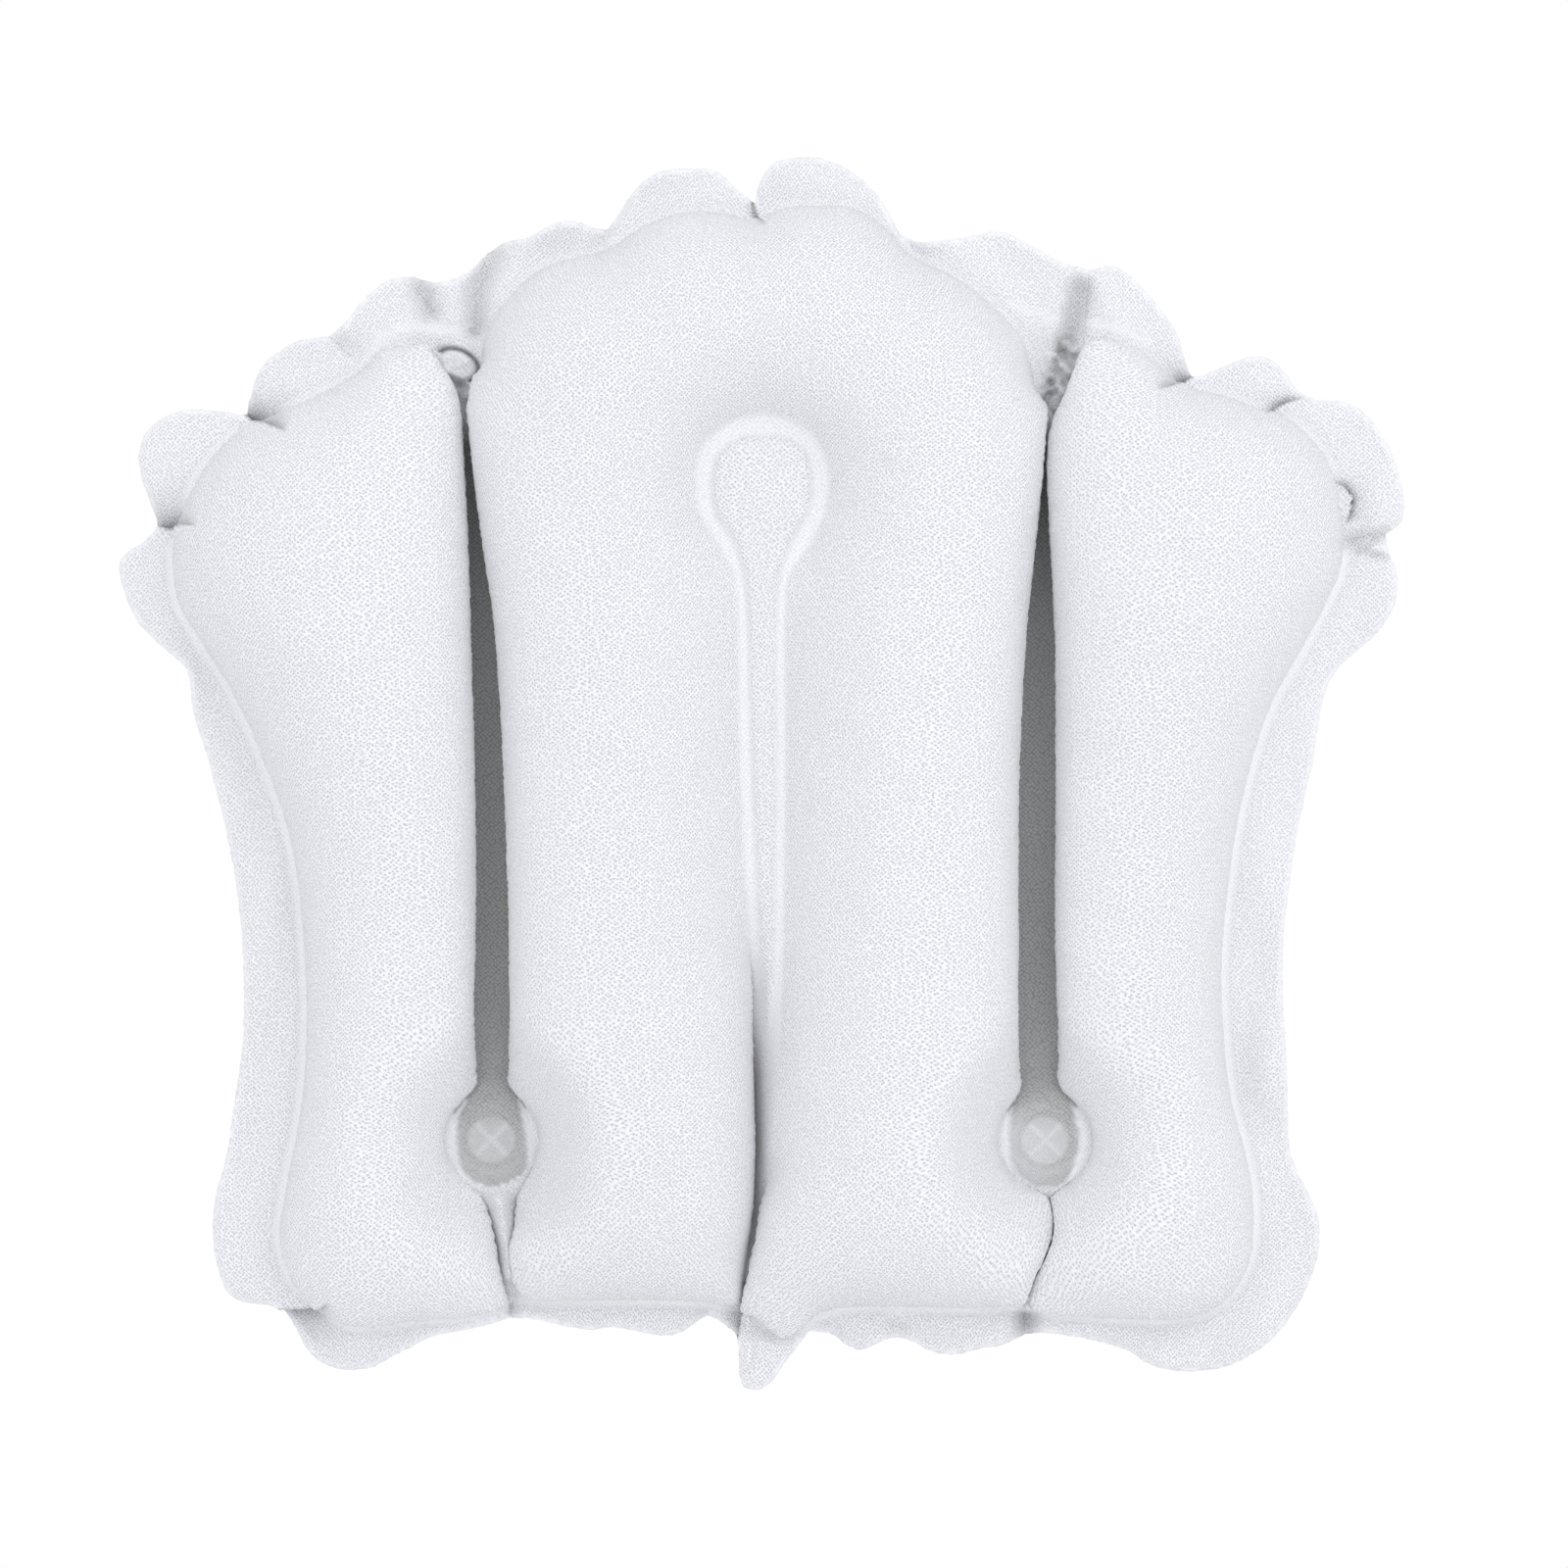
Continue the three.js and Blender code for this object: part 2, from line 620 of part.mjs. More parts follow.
// Terry face and vinyl back of the three panels
for (const wing of [leftWing, rightWing]) {
  addPiece(`terry_${wing.name}`, terryGeometry(wingPlan(wing, sheetSteps, 0)), terryFinish);
  addPiece(`back_film_${wing.name}`, filmGeometry(wingPlan(wing, sheetSteps, filmRim)), filmFinish);
}
const faceLift = (point) => keyholeLift(point, keyholeFaceReach);
const backLift = (point) => keyholeLift(point, keyholeBackReach);
addPiece('terry_centre', terryGeometry(centrePlan(sheetSteps, 0), faceLift), terryFinish);
const valveCut = new THREE.CylinderGeometry(boreRadius, boreRadius, standoff, turnSteps);
valveCut.translate(valveX, filmBack, valveHeight);
const backFilm = toSolid(filmGeometry(centrePlan(sheetSteps, filmRim), backLift));
addPiece('back_film_centre', toGeometry(backFilm.subtract(toSolid(valveCut))), filmFinish);

// Socket welded behind each cup island: a floor, a wall and a lip that holds the cup's head
const socketFront = stripBack + fitGap;
const headFront = socketFront + socketFloor + fitGap;
const headBack = headFront + headThickness;
const lipFront = headBack + fitGap;
const lipBack = lipFront + socketLip;
const mouthRadius = neckRadius + fitGap;
const cavityRadius = headRadius + fitGap;
const socketProfile = [
  [0, socketFront],
  [socketRadius, socketFront],
  [socketRadius, lipFront],
  [socketRadius - socketLip, lipBack],
  [mouthRadius, lipBack],
  [mouthRadius, lipFront],
  [cavityRadius, lipFront],
  [cavityRadius, socketFront + socketFloor],
  [0, socketFront + socketFloor],
];

// Suction cup: a head and neck in the socket, and a bell whose flat rim seats on the wall
function cupProfile() {
  const profile = [[0, headFront], [headRadius, headFront], [headRadius, headBack], [neckRadius, headBack]];
  for (const share of evenShares(bellSteps)) {
    const rise = (bellHeight - bellLip) * (1 - share ** bellCurve);
    profile.push([neckRadius + (rimRadius - neckRadius) * share, -bellLip - rise]);
  }
  profile.push([rimRadius, 0]);
  for (const share of evenShares(bellSteps).reverse()) {
    profile.push([(rimRadius - rimFace) * share, -bellDepth * (1 - share ** 2)]);
  }
  return profile;
}

for (const [row, rowName] of [[1, 'upper'], [-1, 'lower']]) {
  for (const [side, sideName] of [[-1, 'left'], [1, 'right']]) {
    const x = side * (row > 0 ? upperHalf : lowerHalf);
    addPiece(`cup_socket_${rowName}_${sideName}`, turned(socketProfile), cupFinish, x, 0, row * rowHeight);
    addPiece(`suction_cup_${rowName}_${sideName}`, turned(cupProfile()), cupFinish, x, 0, row * rowHeight);
  }
}

// Valve: a flange welded to the film, a stem that pulls out of it, a check flap and a tethered plug
const flangeProfile = [
  [boreRadius, flangeFront],
  [flangeRadius, flangeFront],
  [flangeRadius, flangeFront + flangeThickness / 2],
  [flangeRadius - flangeThickness, flangeBack],
  [boreRadius, flangeBack],
  [boreRadius, flangeFront],
];
const stemProfile = [
  [stemBore, stemTip],
  [stemRadius, stemTip],
  [stemRadius, collarFront],
  [collarRadius, collarFront],
  [collarRadius, collarBack],
  [stemBore, collarBack],
  [stemBore, stemTip],
];
const flapBack = stemTip - fitGap;
const flapProfile = [
  [0, flapBack - flapThickness],
  [flapRadius, flapBack - flapThickness],
  [flapRadius, flapBack],
  [0, flapBack],
];
const plugProfile = [
  [0, collarBack - plugDepth],
  [plugTipRadius, collarBack - plugDepth],
  [stemBore - plugFit, capFront],
  [capRadius, capFront],
  [capRadius, capFront + capThickness - capBevel],
  [capRadius - capBevel, capFront + capThickness],
  [0, capFront + capThickness],
];
addPiece('valve_flange', turned(flangeProfile), valveFinish, valveX, 0, valveHeight);
addPiece('valve_stem', turned(stemProfile), valveFinish, valveX, 0, valveHeight);
addPiece('valve_flap', turned(flapProfile), valveFinish, valveX, 0, valveHeight);
addPiece('valve_plug', turned(plugProfile), valveFinish, valveX, 0, valveHeight);

// Tether strap from the cap's edge up to its living hinge over the collar's edge
const tetherLength = collarRadius - capRadius - fitGap;
const strap = new THREE.BoxGeometry(tetherWidth, tetherThickness, tetherLength);
strap.translate(0, capFront + tetherThickness / 2, capRadius + fitGap + tetherLength / 2);
addPiece('plug_tether', strap, valveFinish, valveX, 0, valveHeight);

export default pillow;
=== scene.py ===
import json
import math

import bpy
import numpy as np
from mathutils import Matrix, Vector, kdtree
from mathutils.geometry import delaunay_2d_cdt


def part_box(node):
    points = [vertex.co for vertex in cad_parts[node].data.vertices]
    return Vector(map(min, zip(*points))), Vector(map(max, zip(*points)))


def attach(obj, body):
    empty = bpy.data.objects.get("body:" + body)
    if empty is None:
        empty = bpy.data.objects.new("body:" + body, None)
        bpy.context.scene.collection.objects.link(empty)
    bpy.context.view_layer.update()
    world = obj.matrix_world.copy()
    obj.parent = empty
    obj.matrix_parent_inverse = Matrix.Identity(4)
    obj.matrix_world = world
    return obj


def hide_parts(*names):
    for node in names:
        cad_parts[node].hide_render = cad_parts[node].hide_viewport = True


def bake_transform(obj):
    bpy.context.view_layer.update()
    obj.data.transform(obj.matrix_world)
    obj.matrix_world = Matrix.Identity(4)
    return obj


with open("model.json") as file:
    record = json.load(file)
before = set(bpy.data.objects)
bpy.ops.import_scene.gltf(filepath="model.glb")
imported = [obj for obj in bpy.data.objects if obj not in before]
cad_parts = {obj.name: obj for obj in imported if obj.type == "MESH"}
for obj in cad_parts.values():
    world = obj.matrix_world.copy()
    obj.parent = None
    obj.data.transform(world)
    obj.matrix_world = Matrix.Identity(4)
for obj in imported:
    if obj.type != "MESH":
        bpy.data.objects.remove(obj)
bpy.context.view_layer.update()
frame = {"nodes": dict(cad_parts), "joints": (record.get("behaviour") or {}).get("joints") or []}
scene = bpy.context.scene
print("frame loaded,", len(frame["nodes"]), "solids")

# the cutting pattern: points in trace units, 0.305 mm each, x to the right and y down
pattern = dict(
    unit=0.305,
    midX=779.0,
    midY=767.5,
    weldY=-26.35,        # front of the welded sheet, mm
    backY=-23.25,        # back of the welded sheet, mm
    traceStep=0.5,       # spacing along a traced line, mm
    foldStep=0.8,
    fineStep=1.25,       # mesh spacing beside welds and edges
    wideStep=2.6,        # mesh spacing on the open tubes
    fineReach=5.0,
    denseStep=0.7,       # mesh spacing on the cup islands
    denseReach=8.0,
    foldReach=3.0,
    keepOff=0.62,        # share of a step left free beside the lines
)

# the flange's edge, a run for each scallop; a run goes on to the first point of the next
edgeRuns = [
    [(771, 208), (775, 187), (790, 167), (822, 160), (855, 167), (880, 183), (900, 206)],
    [(918, 238), (935, 246), (960, 246), (990, 241), (1020, 236), (1050, 249), (1080, 266)],
    [(1111, 276), (1135, 271), (1150, 278), (1170, 298), (1190, 322), (1203, 345), (1210, 370)],
    [(1218, 387), (1230, 382), (1250, 374), (1275, 364), (1295, 366), (1310, 378), (1325, 398)],
    [(1344, 408), (1375, 411), (1390, 420), (1408, 440), (1420, 462), (1428, 485), (1433, 515), (1430, 532)],
    [(1414, 545), (1416, 560), (1424, 580), (1426, 600), (1422, 620), (1410, 640), (1390, 660), (1372, 675),
     (1360, 690), (1353, 703), (1345, 740), (1339, 780), (1330, 820), (1322, 860), (1316, 900), (1311, 940),
     (1309, 980), (1309, 1020), (1311, 1060), (1313, 1100), (1315, 1160), (1318, 1180), (1326, 1200),
     (1336, 1220), (1344, 1240), (1346, 1260), (1345, 1280), (1339, 1300), (1330, 1322), (1318, 1342),
     (1300, 1364), (1280, 1380), (1255, 1393), (1225, 1399), (1195, 1398), (1170, 1390), (1150, 1378),
     (1120, 1369), (1090, 1363), (1060, 1360)],
    [(1046, 1362), (1020, 1373), (1000, 1376), (980, 1381), (960, 1381), (945, 1376), (930, 1368),
     (915, 1365), (900, 1368), (885, 1376), (875, 1377), (862, 1371), (850, 1362), (838, 1359)],
    [(826, 1358), (812, 1375), (800, 1391), (790, 1406), (780, 1415), (770, 1418), (760, 1415), (755, 1405),
     (754, 1390)],
    [(755, 1366), (742, 1354), (724, 1343), (717, 1345), (694, 1360), (676, 1363), (653, 1359), (627, 1354),
     (602, 1357), (564, 1350), (538, 1345)],
    [(520, 1345), (480, 1356), (440, 1364), (420, 1374), (400, 1384), (380, 1395), (360, 1398), (340, 1395),
     (325, 1388), (312, 1374), (302, 1356), (292, 1340)],
    [(285, 1333), (270, 1331), (250, 1329), (238, 1324), (230, 1315), (224, 1300), (219, 1280), (217, 1250),
     (220, 1220), (226, 1200), (232, 1175), (237, 1140), (243, 1100), (248, 1060), (249, 1010), (247, 960),
     (243, 920), (237, 880), (229, 840), (219, 800), (208, 760), (201, 740), (196, 715), (195, 700),
     (190, 682), (178, 670), (160, 655), (145, 640), (133, 620), (126, 600), (121, 580), (124, 570),
     (132, 561), (145, 554)],
    [(161, 539), (158, 525), (150, 505), (143, 480), (142, 460), (150, 440), (165, 427), (185, 419),
     (205, 418), (230, 420)],
    [(250, 426), (255, 405), (260, 388), (268, 372), (285, 358), (300, 349), (318, 345)],
    [(335, 343), (350, 332), (365, 312), (380, 297), (400, 284), (420, 282), (445, 288)],
    [(462, 285), (480, 275), (497, 258), (515, 247), (540, 242), (555, 234), (575, 226), (590, 227),
     (605, 232)],
    [(619, 234), (630, 220), (640, 204), (655, 187), (675, 175), (700, 172), (722, 172), (738, 179),
     (752, 193)],
]

# foot of each air chamber: the outer run follows a weld, the inner run hangs over a channel
leftOuter = [
    (521, 1333), (486, 1345), (423, 1351), (379, 1357), (347, 1353), (320, 1336), (295, 1308), (281, 1264),
    (286, 1220), (303, 1126), (308, 1050), (305, 957), (292, 859), (265, 779), (230, 703), (199, 654),
    (178, 618), (172, 580), (173, 548), (187, 507), (207, 472), (240, 437), (273, 421), (324, 398),
    (368, 373), (386, 354), (404, 349)]
leftInner = [
    (424, 356), (441, 367), (452, 380), (460, 398), (466, 418), (471, 445), (479, 560), (483, 700),
    (485, 800), (485, 900), (483, 1000), (477, 1110), (464, 1135), (461, 1165), (468, 1196), (492, 1221),
    (503, 1250), (511, 1290), (517, 1318)]
rightOuter = [
    (1135, 350), (1156, 349), (1176, 362), (1210, 389), (1251, 399), (1292, 415), (1312, 421), (1338, 441),
    (1358, 467), (1370, 510), (1375, 558), (1372, 582), (1365, 602), (1336, 658), (1300, 725), (1273, 814),
    (1258, 904), (1251, 993), (1253, 1050), (1260, 1117), (1274, 1170), (1283, 1220), (1280, 1282),
    (1262, 1318), (1236, 1340), (1191, 1350), (1124, 1347), (1070, 1342), (1049, 1336)]
rightInner = [
    (1051, 1318), (1059, 1302), (1073, 1276), (1079, 1252), (1077, 1230), (1092, 1206), (1104, 1165),
    (1098, 1130), (1087, 1100), (1079, 1000), (1077, 800), (1075, 650), (1068, 480), (1071, 444), (1079, 426),
    (1091, 411), (1096, 391), (1103, 373), (1118, 358)]
centreTop = [
    (488, 378), (489, 352), (499, 324), (530, 286), (559, 266), (620, 250), (642, 234), (672, 219),
    (702, 212), (740, 213), (762, 218), (777, 217), (800, 208), (830, 205), (868, 207), (895, 220),
    (915, 237), (932, 256), (986, 284), (1032, 325), (1050, 350), (1058, 378)]
centreRight = [
    (1062, 405), (1066, 440), (1064, 480), (1056, 560), (1047, 650), (1040, 800), (1039, 1000), (1037, 1090),
    (1030, 1125), (1026, 1163), (1033, 1196), (1054, 1215), (1067, 1232), (1071, 1252), (1064, 1280),
    (1051, 1306), (1044, 1322)]
centreBottom = [
    (1036, 1334), (1000, 1338), (930, 1337), (870, 1337), (838, 1343), (818, 1358), (798, 1368), (782, 1356),
    (764, 1342), (735, 1334), (700, 1331), (620, 1330), (560, 1330), (534, 1328)]
centreLeft = [
    (528, 1310), (526, 1290), (525, 1240), (530, 1216), (542, 1195), (543, 1163), (535, 1125), (524, 1095),
    (520, 1000), (518, 900), (509, 700), (502, 620), (493, 560), (483, 480), (480, 440), (485, 405)]
keyholeOuter = [
    (755, 1350), (761, 1300), (767, 1250), (771, 1180), (769, 1080), (767, 1000), (762, 900), (757, 800),
    (755, 700), (754, 630), (750, 586), (735, 556), (716, 525), (711, 492), (717, 460), (741, 435),
    (778, 425), (816, 435), (839, 460), (845, 492), (841, 525), (826, 556), (805, 586), (801, 630),
    (801, 700), (801, 800), (800, 900), (798, 1000), (795, 1060), (790, 1110), (786, 1180), (775, 1250),
    (766, 1300), (760, 1350)]
keyholeInner = [
    (783, 1078), (776, 1000), (771, 900), (767, 800), (764, 700), (762, 630), (757, 580), (748, 554),
    (730, 525), (726, 492), (732, 466), (752, 449), (779, 444), (806, 449), (824, 466), (830, 492),
    (826, 525), (809, 554), (799, 580), (794, 630), (793, 700), (793, 800), (792, 900), (790, 1000)]
# lines between the panels, down the middle of each channel
leftSplit = [
    (462, 285), (458, 336), (446, 350), (441, 358), (450, 371), (460, 386), (468, 404), (474, 440),
    (486, 560), (497, 700), (502, 800), (502, 900), (503, 1000), (501, 1110), (480, 1137), (470, 1163),
    (480, 1188), (503, 1206), (512, 1230), (518, 1270), (522, 1310), (520, 1345)]
rightSplit = [
    (1111, 276), (1106, 336), (1104, 352), (1099, 366), (1091, 388), (1083, 408), (1075, 424), (1069, 444),
    (1066, 480), (1063, 560), (1062, 650), (1060, 800), (1060, 900), (1060, 1000), (1062, 1110), (1088, 1137),
    (1100, 1163), (1088, 1190), (1067, 1208), (1072, 1230), (1075, 1252), (1068, 1278), (1055, 1304),
    (1047, 1334), (1046, 1362)]

# lapped folds of the flange: lines from the edge inwards, sizes in mm; the near side (1 left of the line,
# -1 right) laps over the other, which drops by depth, comes back over reach and lies in shade for a few mm
foldColumns = ("near", "depth", "reach", "lip", "fade", "lead", "shade", "shadeReach", "line")
folds = [dict(zip(foldColumns, row)) for row in (
    (1, 2.5, 2.0, 0.3, 0.55, 0, 0.75, 0.7, [(770, 209), (775, 224), (784, 238)]),
    (-1, 11.0, 5.0, 1.2, 0.5, 0, 0.85, 3.2, [(249, 426), (261, 436), (280, 443), (300, 448)]),
    (-1, 8.0, 6.0, 1.2, 0.45, 0, 0.7, 3.0, [(160, 540), (173, 543), (190, 540), (212, 539)]),
    (1, 8.0, 4.0, 1.2, 0.4, 0, 0.85, 2.2, [(1218, 387), (1203, 398), (1190, 403), (1174, 407)]),
    (1, 4.0, 3.0, 0.6, 0.6, 0.5, 0.7, 1.3, [(1332, 405), (1319, 410), (1308, 415), (1288, 427)]),
    (-1, 3.6, 2.2, 0.6, 0.75, 0.25, 0.9, 0.6,
     [(1362, 490), (1371, 498), (1379, 508), (1376, 522), (1373, 536)]),
    (1, 7.0, 8.0, 1.0, 0.6, 0, 0.5, 2.4, [(285, 1333), (300, 1333), (318, 1331), (334, 1324), (346, 1317)]),
    (-1, 8.0, 9.0, 0.6, 0.5, 0, 0.35, 3.0, [(755, 1366), (758, 1348), (764, 1318)]),
)]
foldLook = dict(nearRise=0.8, nearReach=4.0, lipReach=1.6, crease=0.3, hides=3.5)
# soft valleys (depth above 0) and ridges (below 0)
seamRidge = [(507, 1212), (513, 1240), (518, 1270), (522, 1318)]
valleyColumns = ("depth", "width", "fade", "lead", "shade", "flat", "line")
valleys = [dict(zip(valleyColumns, row)) for row in (
    (7.0, 3.4, 0.6, 0, 0.22, 1, [(427, 283), (434, 305), (444, 336)]),
    (7.0, 3.6, 0.8, 0, 0.2, 1, [(500, 258), (486, 300), (484, 352)]),
    (4.5, 3.7, 0.6, 0.2, 0.32, 1.2, [(1106, 278), (1100, 310), (1090, 345), (1082, 372)]),
    (4.5, 2.2, 0.4, 0, 0, 1, [(619, 234), (612, 245), (598, 264)]),
    (4.5, 2.2, 0.4, 0, 0, 1, [(918, 238), (930, 250), (950, 270)]),
    (4.0, 2.4, 0.4, 0, 0, 1, [(335, 343), (352, 356), (376, 372)]),
    (4.0, 2.2, 0.4, 0, 0.2, 1, [(1414, 545), (1395, 549), (1368, 555), (1346, 549)]),
    (2.0, 1.2, 0.6, 0, 0.25, 1, [(1412, 568), (1394, 564), (1372, 558)]),
    (7.0, 3.6, 0.7, 0, 0.4, 1, [(1047, 1362), (1047, 1346), (1047, 1334)]),
    (5.0, 2.0, 0.6, 0, 0, 1, [(520, 1347), (522, 1338), (523, 1325)]),
    (4.0, 3.0, 0.5, 0, 0, 1, [(724, 1343), (722, 1338), (720, 1328)]),
    (4.0, 3.0, 0.5, 0, 0, 1, [(850, 1362), (848, 1352), (846, 1340)]),
    (4.0, 3.4, 0.5, 0, 0, 1, [(915, 1365), (915, 1352), (915, 1340)]),
    (-9.0, 3.0, 0.8, 0.12, 0, 1, seamRidge),
    (1.3, 2.4, 0.5, 0.4, 0, 1, [(922, 468), (902, 477), (876, 494)]),
    (0.8, 2.4, 0.5, 0.4, 0, 1, [(668, 474), (686, 486), (704, 500)]),
)]
# the weld that runs on above the two upper islands
bridges = [
    [(374, 364), (388, 344), (405, 335), (424, 331), (446, 336), (474, 334)],
    [(1032, 308), (1050, 317), (1072, 323), (1102, 326), (1124, 330), (1147, 337), (1172, 349)],
]


def traced(points):
    p = np.array(points, float)
    across, up = p[:, 0] - pattern["midX"], pattern["midY"] - p[:, 1]
    return np.stack([across * pattern["unit"], up * pattern["unit"]], 1)


def evenly(points, step):
    gaps = np.linalg.norm(np.diff(points, axis=0), axis=1)
    along = np.concatenate([[0], np.cumsum(gaps)])
    marks = np.linspace(0, along[-1], max(2, int(round(along[-1] / step))) + 1)
    return np.stack([np.interp(marks, along, points[:, 0]), np.interp(marks, along, points[:, 1])], 1)


def smoothRun(points, step):
    # centripetal curve through the points
    p = np.vstack([2 * points[0] - points[1], points, 2 * points[-1] - points[-2]])
    dense = []
    for i in range(1, len(p) - 2):
        a, b, c, d = p[i - 1:i + 3]
        t1 = np.linalg.norm(b - a) ** 0.5
        t2 = t1 + np.linalg.norm(c - b) ** 0.5
        t3 = t2 + np.linalg.norm(d - c) ** 0.5
        t = np.linspace(t1, t2, 14, endpoint=False)[:, None]
        ab = a + (b - a) * t / t1
        bc = b + (c - b) * (t - t1) / (t2 - t1)
        cd = c + (d - c) * (t - t2) / (t3 - t2)
        abc, bcd = ab + (bc - ab) * t / t2, bc + (cd - bc) * (t - t1) / (t3 - t1)
        dense.append(abc + (bcd - abc) * (t - t1) / (t2 - t1))
    dense.append(p[-2][None])
    return evenly(np.vstack(dense), step)


def joinRuns(runs, step):
    whole = [run + after[:1] for run, after in zip(runs, runs[1:] + runs[:1])]
    return np.vstack([smoothRun(traced(run), step)[:-1] for run in whole])


def insideOf(loop, points):
    x, z = points.T
    found = np.zeros(len(points), bool)
    for (x0, z0), (x1, z1) in zip(loop, np.roll(loop, -1, 0)):
        if z0 != z1:
            found ^= ((z0 > z) != (z1 > z)) & (x < (x1 - x0) * (z - z0) / (z1 - z0) + x0)
    return found


def nearTree(points):
    tree = kdtree.KDTree(len(points))
    for i, p in enumerate(points):
        tree.insert((p[0], p[1], 0), i)
    tree.balance()
    return tree


def nearest(tree, points):
    hits = [tree.find((p[0], p[1], 0)) for p in points]
    return np.array([h[1] for h in hits]), np.array([h[2] for h in hits])


def insetLoop(loop, depths):
    # each point moves in by its own depth; points that land too near the old line are dropped
    tangent = np.roll(loop, -1, 0) - np.roll(loop, 1, 0)
    tangent /= np.linalg.norm(tangent, axis=1)[:, None] + 1e-9
    area = np.sum(loop[:, 0] * np.roll(loop[:, 1], -1) - np.roll(loop[:, 0], -1) * loop[:, 1])
    inward = np.stack([-tangent[:, 1], tangent[:, 0]], 1) * np.sign(area)
    moved = loop + inward * depths[:, None]
    _, gap = nearest(nearTree(loop), moved)
    return moved, gap > np.abs(depths) - 0.15


def ease(low, high, value):
    t = np.clip((value - low) / (high - low), 0, 1)
    return t * t * (3 - 2 * t)


def band(value, start, end, soft):
    return ease(start - soft, start + soft, value) * fall(end - soft, end + soft, value)


def mixed(low, high, share):
    return low + (high - low) * share


def fall(low, high, value):
    return 1 - ease(low, high, value)


def bell(value, width):
    return np.exp(-(value / width) ** 2)


# spans are pairs of heights or distances in mm that a change runs between
weld = dict(
    width=2.5, soft=0.9, press=0.2, pile=0.4,
    tubeFoot=1.4, channelFoot=2.2, pinchFoot=0.3, pinchSpan=(98, 108),
    paleTop=0.5, paleSpan=(60, 130),                    # the seam shows less towards the top
    flange=0.08, flangeTop=0.14, flangeSpan=(-100, 0),  # the flange is pressed a little all over
    keyhole=0.75, keyholeLine=(0.3, 1.2), keyholeSpan=(-112, -80),
    # painted light: a little pale, smooth weld finish on the tubes round the lower islands, over the shade of
    # their dish
    dishLight=0.15, dishLightSpan=(11, 24),
    bridge=0.7, bridgeLine=(1.0, 2.2),
)


def chamberLoop(runs, roles):
    # roles: "weld" runs sit inside their weld line, "channel" runs hang over their channel
    step = pattern["traceStep"]
    lines = [smoothRun(traced(run), step) for run in runs]
    joined, depth, role = [], [], []
    for i, line in enumerate(lines):
        bridge = evenly(np.vstack([line[-1], lines[(i + 1) % len(lines)][0]]), step)[1:-1]
        hung = roles[i] == "channel"
        for part in (line, bridge):
            pinched = ease(*weld["pinchSpan"], np.abs(part[:, 1]))
            foot = mixed(weld["channelFoot"], weld["pinchFoot"], pinched)
            joined.append(part)
            depth.append(foot if hung else np.full(len(part), weld["tubeFoot"]))
            role.append(np.full(len(part), hung))
    loop, depth, role = np.vstack(joined), np.concatenate(depth), np.concatenate(role)
    soft = np.ones(9) / 9
    depth = np.convolve(np.concatenate([depth[-4:], depth, depth[:4]]), soft, "valid")
    moved, keep = insetLoop(loop, depth)
    ring, ringRole = moved[keep], role[keep]
    even = evenly(np.vstack([ring, ring[:1]]), pattern["fineStep"])[:-1]
    index, _ = nearest(nearTree(ring), even)
    return even, ringRole[index]


outline = joinRuns(edgeRuns, pattern["fineStep"])
leftLoop, leftRole = chamberLoop([leftOuter, leftInner], ["weld", "channel"])
rightLoop, rightRole = chamberLoop([rightOuter, rightInner], ["weld", "channel"])
centreLoop, centreRole = chamberLoop([centreTop, centreRight, centreBottom, centreLeft],
                                     ["weld", "channel", "weld", "channel"])
keyOut = evenly(smoothRun(traced(keyholeOuter), pattern["traceStep"]), pattern["fineStep"])
keyIn = smoothRun(traced(keyholeInner + keyholeInner[:1]), pattern["traceStep"])
keyIn = evenly(keyIn, pattern["fineStep"])[:-1]
splitLeft, splitRight = (smoothRun(traced(line), pattern["fineStep"]) for line in (leftSplit, rightSplit))
foldLines = [smoothRun(traced(f["line"]), pattern["foldStep"]) for f in folds]
cupMids = traced([(467, 373), (1080, 382), (502, 1162), (1066, 1163)])
print("pattern drawn:", len(outline), "edge points,",
      len(leftLoop) + len(centreLoop) + len(rightLoop), "weld points")


def cupReach(points):
    return np.min(np.linalg.norm(points[:, None, :] - cupMids[None], axis=2), axis=1)


